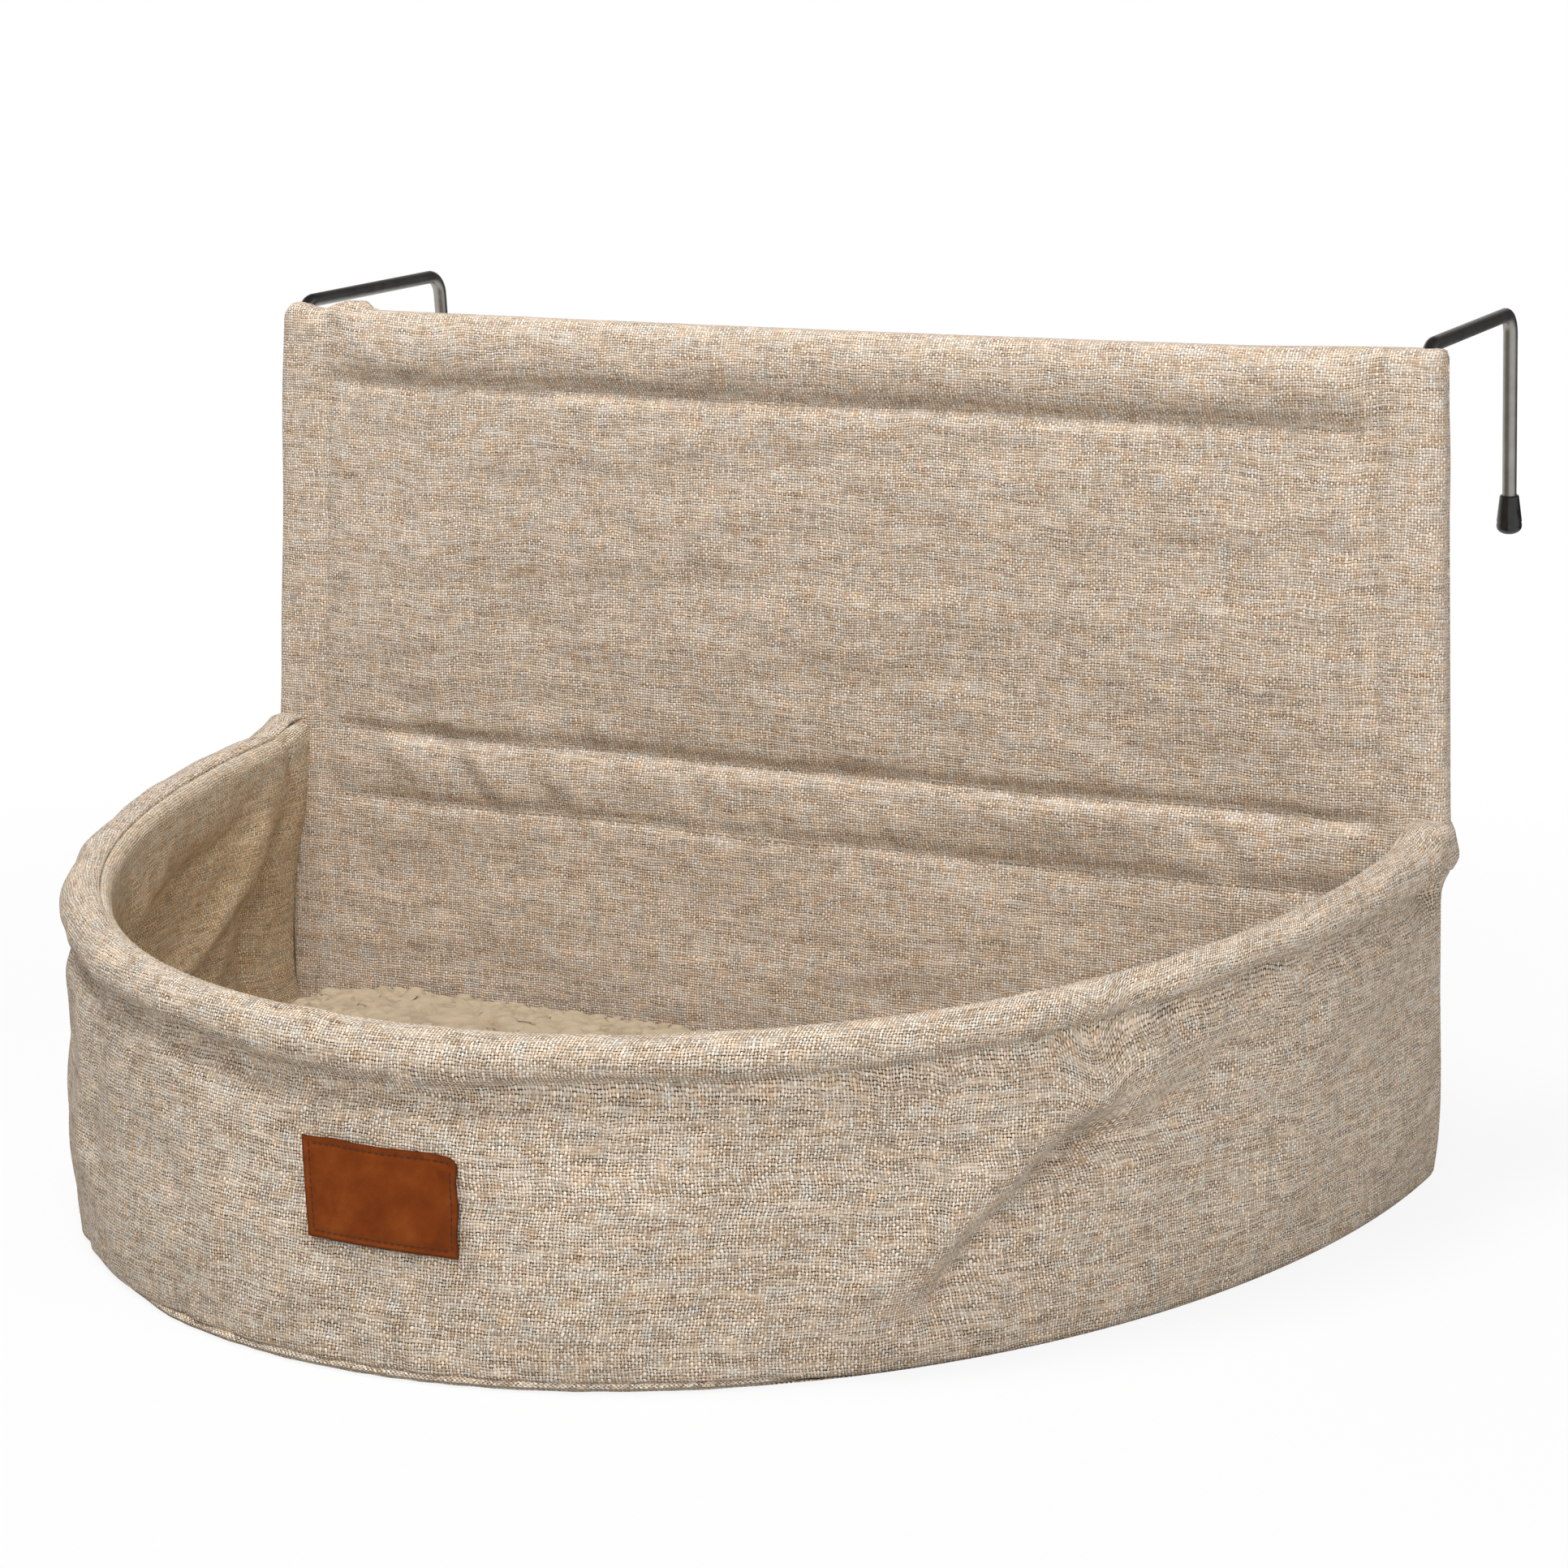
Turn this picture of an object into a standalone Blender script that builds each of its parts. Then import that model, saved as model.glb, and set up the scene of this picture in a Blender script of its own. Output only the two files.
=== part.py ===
"""Radiator cat bed: a steel wire hanger in a padded linen-look cover, with a loose plush cushion.

Metres, +Z up. The origin is where the bed hangs: midway between the two hooks, level with the
underside of their arms and in the plane of the backrest's rear face. The basket points along -Y,
the hooks reach back along +Y over the radiator, and X is the width.
"""
import math

import bmesh
import bpy
import numpy as np
from mathutils import Matrix, Vector

# Backrest
panel_height = 0.2782
panel_thickness = 0.009
panel_over_rim = 0.006
panel_taper = 0.006
panel_corner_radius = 0.003
panel_step_height = 0.007
hem_above_arm = 0.0005
channel_height = 0.026
channel_puff = 0.0028
crease_depth = 0.0012
crease_width = 0.0032
field_crown = 0.0012
sleeve_width = 0.022
sleeve_puff = 0.0012
sleeve_fade_share = 0.5
sleeve_crease_share = 0.4
crown_turn = 1.3
# Where the front cloth's rows and columns lie in its rounded edge, its sleeve and its field
edge_shares = (0.0, 0.35, 1.0)
sleeve_column_share = 0.55
field_column_shares = (0.2, 0.36, 0.54, 0.76)

# Basket
rim_height = 0.1212
rim_half_width = 0.2234
rim_lead = 0.015
rim_reach = 0.2968
rim_fullness = 2.09
rim_roll_radius = 0.0085
rim_droop_share = 0.0693
base_side_flare = 0.0044
base_front_flare = 0.0192
base_fullness = 2.015
wall_bulge = 0.0025
bulge_power = 0.6
fold_end_share = 0.05
wall_thickness = 0.005
crease_angle = math.radians(-50)
seam_angle = math.radians(126)
roll_inner_angle = math.radians(200)
piping_radius = 0.0016

# Cloth and board
fabric = 0.001
seat_gap = 0.0003
weld_distance = 0.00001
wadding_slack = 0.0015
padding_slack = 0.0009
board_thickness = 0.003

# Wire frame
wire_diameter = 0.005
hook_reach = 0.0945
hook_rise_share = 0.0409
hook_drop = 0.0788
hook_opening = math.radians(4)
bend_radius = 0.008
rod_foot_height = 0.008
base_rod_height = 0.014
socket_outer_diameter = 0.0075
socket_play = 0.00035
socket_length = 0.021
cap_length = 0.014
cap_mouth_diameter = 0.0066
cap_diameter = 0.0089
cap_floor = 0.003
# Radius and length shares of the cap's outer side below its mouth
cap_profile_shares = ((1.0, 0.24), (0.98, 0.17), (0.86, 0.08), (0.6, 0.022), (0.0, 0.0))

# Cushion
cushion_lift_clearance = 0.0016
cushion_rear_gap = 0.0055
cushion_corner_radius = 0.016
cushion_draw_in = 0.0035
cushion_crown = 0.024
cushion_seam_height = 0.009
plush_thickness = 0.0022
seam_band = 0.001
filling_share = 0.955
cushion_centre_share = 0.45
crown_power = 3.0
underside_power = 14.0
# Shares of each ring of the cushion's faces, of the points along its rear edge, and the turns
# of the points round its rear corners
cushion_ring_shares = (1.0, 0.985, 0.94, 0.84, 0.66, 0.4, 0.18)
cushion_rear_shares = (0.6, 0.2, -0.2, -0.6)
corner_turns = (math.radians(30), math.radians(60), math.radians(90))

# Label
label_width = 0.0500
label_height = 0.0307
label_thickness = 0.0012
label_arc_share = 0.5090
label_height_share = 0.60

# Levels and planes that follow from the sizes above
panel_top = hem_above_arm
base_level = panel_top - panel_height
wire_radius = wire_diameter / 2
socket_outer_radius = socket_outer_diameter / 2
upright_half_spacing = rim_half_width - socket_outer_radius - seat_gap - wire_radius
panel_rim_half_width = rim_half_width + panel_over_rim
panel_top_half_width = panel_rim_half_width - panel_taper
base_half_width = rim_half_width + base_side_flare
base_reach = rim_reach + base_front_flare
panel_base_half_width = base_half_width - piping_radius - seat_gap
cushion_half_width = rim_half_width - rim_roll_radius - cushion_lift_clearance
cushion_reach = rim_reach - rim_roll_radius - cushion_lift_clearance
wadding_thickness = panel_thickness - 2 * fabric - wadding_slack
wall_wadding_thickness = wall_thickness - 2 * fabric - wadding_slack
padding_radius = rim_roll_radius - fabric - padding_slack
arm_level = wire_radius
front_plane = -panel_thickness
rod_plane = -(fabric + seat_gap + wire_radius)
rim_level = base_level + rim_height - rim_roll_radius
rim_tilt = math.atan(rim_droop_share)
base_top = base_level + fabric
board_level = base_top + seat_gap
floor_level = board_level + board_thickness + seat_gap + fabric
wall_foot_level = base_level + 2 * piping_radius + 2 * seat_gap
lining_foot_level = floor_level + seat_gap
crease_offset = rim_roll_radius * math.cos(crease_angle)
crease_drop = -rim_roll_radius * math.sin(crease_angle)

wall_start = panel_thickness - seat_gap
front_trim = wall_start + sleeve_puff + 2 * seat_gap

# Counts
wall_columns = 43
hoop_points = 35
outline_samples = 720
plate_points = 48
wire_sides_resolution = 4
hoop_sides_resolution = 2
bend_steps = 6
roll_outer_steps = 6
roll_inner_steps = 4
label_rows = 4
label_columns = 8
cushion_front_points = 34
cap_steps = 16

# Main folds of the basket wall: arc and height shares of the two ends, depth and width
wall_folds = (
    (0.800, 0.95, 0.715, 0.20, 0.0050, 0.026),
    (0.850, 0.85, 0.790, 0.15, -0.0030, 0.022),
    (0.640, 0.30, 0.700, 0.05, -0.0022, 0.020),
    (0.190, 0.90, 0.205, 0.20, -0.0028, 0.014),
    (0.130, 0.75, 0.170, 0.10, 0.0022, 0.016),
    (0.450, 0.20, 0.500, 0.10, -0.0018, 0.018),
)
# Height shares of the wall's rows, from the foot up
wall_shares = (0.0, 0.06, 0.16, 0.32, 0.5, 0.68, 0.85)
# Height share of each row of the lining and how far it hangs in
lining_hang = ((0.85, 0.8), (0.68, 0.5), (0.5, 0.24), (0.32, 0.1), (0.16, 0.1), (0.06, 0.3),
               (0.0, 0.8))
lining_folds = (
    (0.035, 0.90, 0.120, 0.25, -0.0032, 0.012),
    (0.100, 0.85, 0.210, 0.20, -0.0026, 0.014),
    (0.920, 0.90, 0.860, 0.20, -0.0028, 0.014),
)


def clear_scene():
    for old in list(bpy.data.objects):
        bpy.data.objects.remove(old, do_unlink=True)


def make_collection(name):
    collection = bpy.data.collections.new(name)
    bpy.context.scene.collection.children.link(collection)
    return collection


def make_material(name, colour, roughness, metallic=0.0):
    material = bpy.data.materials.new(name)
    material.use_nodes = True
    shader = material.node_tree.nodes["Principled BSDF"]
    shader.inputs["Base Color"].default_value = (*colour, 1.0)
    shader.inputs["Roughness"].default_value = roughness
    shader.inputs["Metallic"].default_value = metallic
    material.diffuse_color = (*colour, 1.0)
    return material


def make_empty(name, location):
    empty = bpy.data.objects.new(name, None)
    empty.location = location
    parts.objects.link(empty)
    return empty


def place(obj, material, parent, collection=None):
    """Put a finished object in its collection, with its material and under its parent."""
    for old in list(obj.users_collection):
        old.objects.unlink(obj)
    (collection or parts).objects.link(obj)
    if material is not None:
        obj.data.materials.clear()
        obj.data.materials.append(material)
    if parent is not None:
        obj.parent = parent
        obj.location = obj.location - parent.location
    return obj


def mesh_object(name, bm, material, parent, location=(0, 0, 0), smooth_angle=40):
    """Turn a bmesh into an object that is shaded smooth up to the given angle."""
    bmesh.ops.recalc_face_normals(bm, faces=bm.faces)
    mesh = bpy.data.meshes.new(name)
    bm.to_mesh(mesh)
    bm.free()
    mesh.shade_smooth()
    mesh.set_sharp_from_angle(angle=math.radians(smooth_angle))
    obj = bpy.data.objects.new(name, mesh)
    obj.location = location
    return place(obj, material, parent)


def add_solidify(obj, thickness, offset):
    """Thicken an open sheet; offset 1 keeps the sheet as the inner side, -1 as the outer."""
    solidify = obj.modifiers.new("thickness", "SOLIDIFY")
    solidify.thickness = thickness
    solidify.offset = offset
    solidify.use_even_offset = True
    solidify.use_quality_normals = True


def add_cut(obj, cutter):
    cut = obj.modifiers.new("cut_" + cutter.name, "BOOLEAN")
    cut.operation = "DIFFERENCE"
    cut.object = cutter


def as_cutter(obj):
    obj.hide_render = True
    obj.display_type = "WIRE"
    return obj


def loft(rows, wrap=False):
    """Quads between successive rows of points; wrap joins the end of each row to its start."""
    bm = bmesh.new()
    rings = [[bm.verts.new(point) for point in row] for row in rows]
    for lower, upper in zip(rings, rings[1:]):
        count = len(lower)
        for i in range(count if wrap else count - 1):
            k = (i + 1) % count
            bm.faces.new((lower[i], lower[k], upper[k], upper[i]))
    return bm, rings


def wire(name, points, radius, resolution, material, parent, location=(0, 0, 0), caps=True):
    """A round wire along straight runs between points."""
    curve = bpy.data.curves.new(name, "CURVE")
    curve.dimensions = "3D"
    curve.bevel_depth = radius
    curve.bevel_resolution = resolution
    curve.use_fill_caps = caps
    spline = curve.splines.new("POLY")
    spline.points.add(len(points) - 1)
    for spline_point, point in zip(spline.points, points):
        spline_point.co = (*point, 1.0)
    obj = bpy.data.objects.new(name, curve)
    obj.location = location
    return place(obj, material, parent)


def plate(name, outline, thickness, material, parent, location, upright=False):
    """A flat sheet from a closed outline, its middle plane at the location."""
    curve = bpy.data.curves.new(name, "CURVE")
    curve.dimensions = "2D"
    curve.fill_mode = "BOTH"
    curve.extrude = thickness / 2
    spline = curve.splines.new("POLY")
    spline.points.add(len(outline) - 1)
    for spline_point, (across, along) in zip(spline.points, outline):
        spline_point.co = (across, along, 0.0, 1.0)
    spline.use_cyclic_u = True
    obj = bpy.data.objects.new(name, curve)
    obj.location = location
    if upright:
        obj.rotation_euler = (math.radians(90), 0, 0)
    return place(obj, material, parent)


def turned(name, profile, steps, material, parent, location):
    """A solid of revolution about Z from a profile of radius and height, run top to bottom."""
    bm = bmesh.new()
    verts = [bm.verts.new((radius, 0, height)) for radius, height in profile]
    for upper, lower in zip(verts, verts[1:]):
        bm.edges.new((upper, lower))
    mesh = bpy.data.meshes.new(name)
    bm.to_mesh(mesh)
    bm.free()
    obj = bpy.data.objects.new(name, mesh)
    obj.location = location
    screw = obj.modifiers.new("turn", "SCREW")
    screw.steps = steps
    screw.render_steps = steps
    screw.use_merge_vertices = True
    screw.merge_threshold = weld_distance
    screw.use_smooth_shade = True
    return place(obj, material, parent)


def box(name, size, bevel, material, parent, location, collection=None):
    """A block with its size in its mesh and rounded edges."""
    bm = bmesh.new()
    bmesh.ops.create_cube(bm, size=1, matrix=Matrix.Diagonal((*size, 1)))
    mesh = bpy.data.meshes.new(name)
    bm.to_mesh(mesh)
    bm.free()
    obj = bpy.data.objects.new(name, mesh)
    obj.location = location
    if bevel:
        rounding = obj.modifiers.new("rounding", "BEVEL")
        rounding.width = bevel
        rounding.segments = 2
    return place(obj, material, parent, collection)


def d_outline(half_width, lead, reach, fullness, start, count, trim=0.0):
    """Evenly spaced plan points of a D, from its left end round the front to its right end.

    Its sides run straight for lead, then round in a superellipse to reach. Both ends lie
    start behind the backrest's front plane, and lead and reach are measured before it. The
    first and last points are drawn in by trim, and all the others stay where they are.
    """
    angles = np.linspace(0.0, math.pi, outline_samples)
    cosines = np.cos(angles)
    sines = np.abs(np.sin(angles))
    across = -half_width * np.sign(cosines) * np.abs(cosines) ** (2 / fullness)
    along = -lead - (reach - lead) * sines ** (2 / fullness)
    across = np.concatenate(([-half_width], across, [half_width]))
    along = np.concatenate(([start], along, [start]))
    steps = np.hypot(np.diff(across), np.diff(along))
    travelled = np.concatenate(([0.0], np.cumsum(steps)))
    stops = np.linspace(0.0, travelled[-1], count)
    stops[0] += trim
    stops[-1] -= trim
    across = np.interp(stops, travelled, across)
    along = np.interp(stops, travelled, along) + front_plane
    return np.column_stack((across, along))


def plan_normals(points):
    """Outward unit normals of a row that runs from the left end round the front."""
    tangents = np.gradient(points, axis=0)
    normals = np.column_stack((tangents[:, 1], -tangents[:, 0]))
    return normals / np.linalg.norm(normals, axis=1)[:, None]


def rim_height_at(along):
    """Height of the rim's centre line, which droops away from the backrest."""
    return rim_level + rim_droop_share * np.minimum(along - front_plane, 0.0)


def mix(low, high, share):
    return low + (high - low) * share


def fold_offset(folds, arc_share, height_share, arc_length):
    """How far the cloth stands proud at a place, from the list of folds."""
    offset = 0.0
    place_here = np.array((arc_share * arc_length, height_share * rim_height))
    for top_arc, top_height, foot_arc, foot_height, depth, width in folds:
        top = np.array((top_arc * arc_length, top_height * rim_height))
        foot = np.array((foot_arc * arc_length, foot_height * rim_height))
        run = foot - top
        share = np.clip(np.dot(place_here - top, run) / np.dot(run, run), 0.0, 1.0)
        distance = np.linalg.norm(place_here - top - run * share)
        offset += depth * math.exp(-(distance / width) ** 2)
    edge_fade = math.sqrt(math.sin(math.pi * min(max(height_share, 0.0), 1.0)))
    return offset * edge_fade


def wall_sizes(share, inset=0.0):
    """Half width, lead, reach and fullness of the wall at a share of its height."""
    bulge = wall_bulge * math.sin(math.pi * share ** bulge_power) - inset
    half_width = mix(base_half_width, rim_half_width + crease_offset, share) + bulge
    lead = mix(0.0, rim_lead, share)
    reach = mix(base_reach, rim_reach + crease_offset, share) + bulge
    fullness = mix(base_fullness, rim_fullness, share)
    return half_width, lead, reach, fullness


def wall_row(share, inset, trim, count, foot_level, folds):
    """One level row of the wall, from its foot at share 0 to the crease under the rim."""
    points = d_outline(*wall_sizes(share, inset), wall_start, count, trim)
    normals = plan_normals(points)
    length = np.sum(np.linalg.norm(np.diff(points, axis=0), axis=1))
    arc_shares = np.linspace(0.0, 1.0, count)
    end_fade = np.clip(np.minimum(arc_shares, 1 - arc_shares) / fold_end_share, 0.0, 1.0)
    offsets = np.array([fold_offset(folds, arc, share, length) for arc in arc_shares]) * end_fade
    points = points + normals * offsets[:, None]
    crease_heights = rim_height_at(points[:, 1]) - crease_drop
    heights = foot_level + (crease_heights - foot_level) * share
    return np.column_stack((points, heights))


def roll_row(angle, radius, count):
    """One row along the rim's roll, at an angle from its outward side."""
    offset = radius * math.cos(angle)
    points = d_outline(rim_half_width + offset, rim_lead, rim_reach + offset, rim_fullness,
                       wall_start, count, front_trim)
    heights = rim_height_at(points[:, 1]) + radius * math.sin(angle)
    return np.column_stack((points, heights))


def panel_half_width(height):
    """Half width of the backrest: it steps in below the rim and narrows towards the top."""
    crease_level = rim_level - crease_drop
    if height < crease_level:
        share = max(0.0, 1 - (crease_level - height) / panel_step_height)
        return mix(panel_base_half_width, panel_rim_half_width, share)
    rim_top = base_level + rim_height
    share = max(0.0, (height - rim_top) / (panel_top - rim_top))
    return mix(panel_rim_half_width, panel_top_half_width, share)


def channel_levels():
    """Lower and upper stitch lines of the two rod channels across the backrest."""
    rim_top = base_level + rim_height
    return ((rim_top - channel_height, rim_top), (panel_top - channel_height, panel_top))


def crease(distance):
    return -crease_depth * math.exp(-(distance / crease_width) ** 2)


def panel_puff(across, height):
    """How far the front cloth stands proud of its plane: channels, sleeves and stitch lines."""
    half_width = panel_half_width(height)
    inset = half_width - abs(across)
    inside = min(max(inset / sleeve_width - sleeve_fade_share, 0.0), 1.0)
    puff = 0.0
    (rim_low, rim_high), (top_low, top_high) = channel_levels()
    for low, high in ((rim_low, rim_high), (top_low, top_high)):
        share = (height - low) / (high - low)
        if 0.0 < share < 1.0:
            puff += channel_puff * math.sin(math.pi * share) * inside
    for low, high in ((base_level, rim_low), (rim_high, top_low)):
        share = (height - low) / (high - low)
        if 0.0 < share < 1.0:
            crown = math.sqrt(math.sin(math.pi * share)) * math.cos(crown_turn * across / half_width)
            puff += field_crown * crown * inside
    for level in (rim_low, rim_high, top_low):
        puff += crease(height - level) * inside
    if inset < sleeve_width:
        puff += sleeve_puff * math.sin(math.pi * inset / sleeve_width)
    puff += crease(inset - sleeve_width) * sleeve_crease_share
    return puff


def hanger_points():
    """Centre line of one hanger from its upright's foot to its cap, and the hook end's centre."""
    rise = math.atan(hook_rise_share)
    along_arm = Vector((0.0, math.cos(rise), math.sin(rise)))
    below_arm = Vector((0.0, math.sin(rise), -math.cos(rise)))
    down_leg = Vector((0.0, math.sin(rise + hook_opening), -math.cos(rise + hook_opening)))
    leg_turn = math.pi / 2 - hook_opening
    arm_turn = math.pi / 2 - rise
    bend_start = arm_level - bend_radius * math.tan(arm_turn / 2)
    points = [Vector((0.0, rod_plane, base_level + rod_foot_height)),
              Vector((0.0, rod_plane, bend_start))]
    centre = Vector((0.0, rod_plane + bend_radius, bend_start))
    for step in range(1, bend_steps + 1):
        turn = arm_turn * step / bend_steps
        points.append(centre + Vector((0.0, -math.cos(turn), math.sin(turn))) * bend_radius)
    corner = points[-1] + along_arm * ((hook_reach - points[-1].y) / along_arm.y)
    arm_end = corner - along_arm * bend_radius * math.tan(leg_turn / 2)
    centre = arm_end + below_arm * bend_radius
    for step in range(bend_steps + 1):
        turn = leg_turn * step / bend_steps
        points.append(centre + (along_arm * math.sin(turn) - below_arm * math.cos(turn))
                      * bend_radius)
    hook_end = corner + down_leg * hook_drop
    points.append(hook_end - down_leg * (cap_floor + seat_gap))
    return points, hook_end, rise + hook_opening


def make_hangers():
    """The two bent wires that carry the bed, each with its rubber cap and its hoop socket."""
    points, hook_end, leg_lean = hanger_points()
    foot = points[0]
    local = [point - foot for point in points]
    bore = wire_radius + seat_gap
    cap_profile = [(bore, cap_length), (cap_mouth_diameter / 2, cap_length)]
    for radius_share, length_share in cap_profile_shares:
        cap_profile.append((cap_diameter / 2 * radius_share, cap_length * length_share))
    bore_profile = [(0.0, cap_floor), (bore, cap_floor), (bore, cap_length)]
    for side, name in ((-1, "left"), (1, "right")):
        across = side * upright_half_spacing
        wire("hanger_rod_" + name, local, wire_radius, wire_sides_resolution, zinc, bed,
             location=(across, foot.y, foot.z))
        cap = turned("end_cap_" + name, cap_profile + bore_profile, cap_steps, rubber, bed,
                     (across, hook_end.y, hook_end.z))
        cap.rotation_euler = (leg_lean, 0, 0)
        make_socket(side, name)


def make_socket(side, name):
    """A short tube welded to the outer side of an upright, pointing along the drooping hoop."""
    across = side * rim_half_width
    outer = socket_outer_radius
    inner = wire_radius + socket_play
    profile = [(inner, socket_length), (outer, socket_length), (outer, 0.0), (inner, 0.0),
               (inner, socket_length)]
    rear = rod_plane + wire_radius
    obj = turned("hoop_socket_" + name, profile, cap_steps, zinc, bed,
                 (across, rear, float(rim_height_at(rear)) + rim_droop_share * (rear - front_plane)))
    obj.rotation_euler = (math.radians(90) + rim_tilt, 0, 0)
    return obj


def cross_rod(name, height):
    """A straight rod welded between the two uprights."""
    half = upright_half_spacing - wire_radius - seat_gap
    wire(name, [(-half, 0, 0), (half, 0, 0)], wire_radius, wire_sides_resolution, zinc, bed,
         location=(0, rod_plane, height))


def rim_path(trim):
    """Centre line of the rim in its drooping plane, its ends drawn in by trim."""
    points = d_outline(rim_half_width, rim_lead, rim_reach, rim_fullness,
                       panel_thickness + rod_plane, hoop_points, trim)
    heights = rim_level + rim_droop_share * (points[:, 1] - front_plane)
    return [Vector((x, y, z)) for (x, y), z in zip(points, heights)]


def make_rim():
    """The wire hoop of the rim and the foam tube round it, both inside the cloth roll."""
    wire("rim_hoop", rim_path(0.0), wire_radius, hoop_sides_resolution, zinc, bed)
    clear_of_socket = socket_length - wire_radius + 2 * seat_gap
    guide = wire("rim_padding", rim_path(clear_of_socket), padding_radius,
                 hoop_sides_resolution, foam, bed, caps=False)
    tube = as_mesh(guide, foam)
    add_solidify(tube, padding_radius - wire_radius - 2 * seat_gap, -1)


def as_mesh(guide, material):
    """Replace a curve object by its mesh, with its doubled points welded."""
    depsgraph = bpy.context.evaluated_depsgraph_get()
    mesh = bpy.data.meshes.new_from_object(guide.evaluated_get(depsgraph))
    bm = bmesh.new()
    bm.from_mesh(mesh)
    bmesh.ops.remove_doubles(bm, verts=bm.verts, dist=weld_distance)
    bmesh.ops.recalc_face_normals(bm, faces=bm.faces)
    bm.to_mesh(mesh)
    bm.free()
    name = guide.name
    parent = guide.parent
    matrix = guide.matrix_world.copy()
    bpy.data.objects.remove(guide, do_unlink=True)
    obj = bpy.data.objects.new(name, mesh)
    obj.matrix_world = matrix
    return place(obj, material, parent)


def spread(low, high, steps):
    """Values from low up to but without high, in even steps."""
    return [mix(low, high, step / steps) for step in range(steps)]


def panel_columns():
    """Shares of the half width, crowded at the side edges and at the sleeve seams."""
    half_width = panel_base_half_width
    edge = [panel_corner_radius * share for share in edge_shares]
    sleeve = [sleeve_width * sleeve_column_share, sleeve_width - crease_width, sleeve_width,
              sleeve_width + crease_width]
    insets = edge + sleeve + [half_width * share for share in field_column_shares]
    left = [-(1 - inset / half_width) for inset in insets]
    return left + [0.0] + [-share for share in reversed(left)]


def panel_levels():
    """Heights of the front cloth's rows, crowded at the hem and at the stitch lines."""
    (rim_low, rim_high), (top_low, top_high) = channel_levels()
    foot = base_top + seat_gap
    step = crease_width
    return (spread(foot, rim_low - step, 4) + [rim_low - step, rim_low, rim_low + step]
            + [(rim_low + rim_high) / 2, rim_high - step, rim_high, rim_high + step]
            + spread(rim_high + step, top_low - step, 4)[1:] + [top_low - step, top_low]
            + [top_low + step, (top_low + top_high) / 2, top_high - 2 * panel_corner_radius]
            + [top_high - panel_corner_radius * share for share in reversed(edge_shares)])


def corner_setback(distance):
    """How far a rounded edge falls back at a distance inside it."""
    if distance >= panel_corner_radius:
        return 0.0
    share = 1 - distance / panel_corner_radius
    return panel_corner_radius * (1 - math.sqrt(max(1 - share * share, 0.0)))


def make_front_panel():
    """The backrest's front cloth: puffed over the rods, its edges turned back to the rear cloth."""
    rows = []
    for height in panel_levels():
        half_width = panel_half_width(height)
        row = []
        for share in panel_columns():
            across = share * half_width
            setback = max(corner_setback(half_width - abs(across)),
                          corner_setback(panel_top - height))
            puff = panel_puff(across, height) if setback == 0.0 else 0.0
            row.append((across, front_plane + setback - puff, height))
        rows.append(row)
    bm, rings = loft(rows)
    border = [edge for edge in bm.edges if edge.is_boundary]
    foot_level = rows[0][0][2]
    border = [edge for edge in border
              if max(vert.co.z for vert in edge.verts) > foot_level + seat_gap]
    turned_back = bmesh.ops.extrude_edge_only(bm, edges=border)["geom"]
    hem_plane = -(fabric + seat_gap)
    for item in turned_back:
        if isinstance(item, bmesh.types.BMVert):
            item.co.y = hem_plane
    panel = mesh_object("backrest_front_panel", bm, linen, bed, smooth_angle=60)
    orient_outward(panel)
    add_solidify(panel, fabric, -1)
    for cutter in make_panel_cutters():
        add_cut(panel, cutter)
    return panel


def orient_outward(obj):
    """Face an open front sheet forward, so that its thickness is laid behind it."""
    forward = sum(face.normal.y * face.area for face in obj.data.polygons)
    if forward > 0:
        obj.data.flip_normals()


def make_panel_cutters():
    """Holes in the front cloth: one for each hanger at the hem and one for each hoop socket."""
    made = []
    notch_width = wire_diameter + 4 * seat_gap
    notch_depth = 2 * bend_radius
    notch_front = rod_plane - wire_radius - 2 * seat_gap
    notch_rear = panel_thickness
    for side, name in ((-1, "left"), (1, "right")):
        across = side * upright_half_spacing
        notch = box("hem_notch_" + name, (notch_width, notch_rear - notch_front, notch_depth), 0,
                    None, None, (across, (notch_rear + notch_front) / 2, panel_top), cutters)
        made.append(as_cutter(notch))
        bm = bmesh.new()
        bmesh.ops.create_cone(bm, cap_ends=True, segments=cap_steps,
                              radius1=socket_outer_radius + 2 * seat_gap,
                              radius2=socket_outer_radius + 2 * seat_gap,
                              depth=panel_thickness)
        mesh = bpy.data.meshes.new("socket_hole_" + name)
        bm.to_mesh(mesh)
        bm.free()
        hole = bpy.data.objects.new("socket_hole_" + name, mesh)
        hole.location = (side * rim_half_width, front_plane, float(rim_height_at(front_plane)))
        hole.rotation_euler = (math.radians(90) + rim_tilt, 0, 0)
        place(hole, None, None, cutters)
        made.append(as_cutter(hole))
    return made


def rear_outline():
    """Outline of the rear cloth, with a notch in its top edge for each hanger."""
    foot = base_top + seat_gap
    rim_top = base_level + rim_height
    notch = wire_radius + 2 * seat_gap
    notch_foot = panel_top - bend_radius
    right = [
        (panel_base_half_width, foot),
        (panel_base_half_width, rim_level - crease_drop - panel_step_height),
        (panel_rim_half_width, rim_level - crease_drop),
        (panel_rim_half_width, rim_top),
        (panel_top_half_width, panel_top - panel_corner_radius),
        (panel_top_half_width - panel_corner_radius, panel_top),
        (upright_half_spacing + notch, panel_top),
        (upright_half_spacing + notch, notch_foot),
        (upright_half_spacing - notch, notch_foot),
        (upright_half_spacing - notch, panel_top),
    ]
    return right + [(-across, height) for across, height in reversed(right)]


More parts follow.
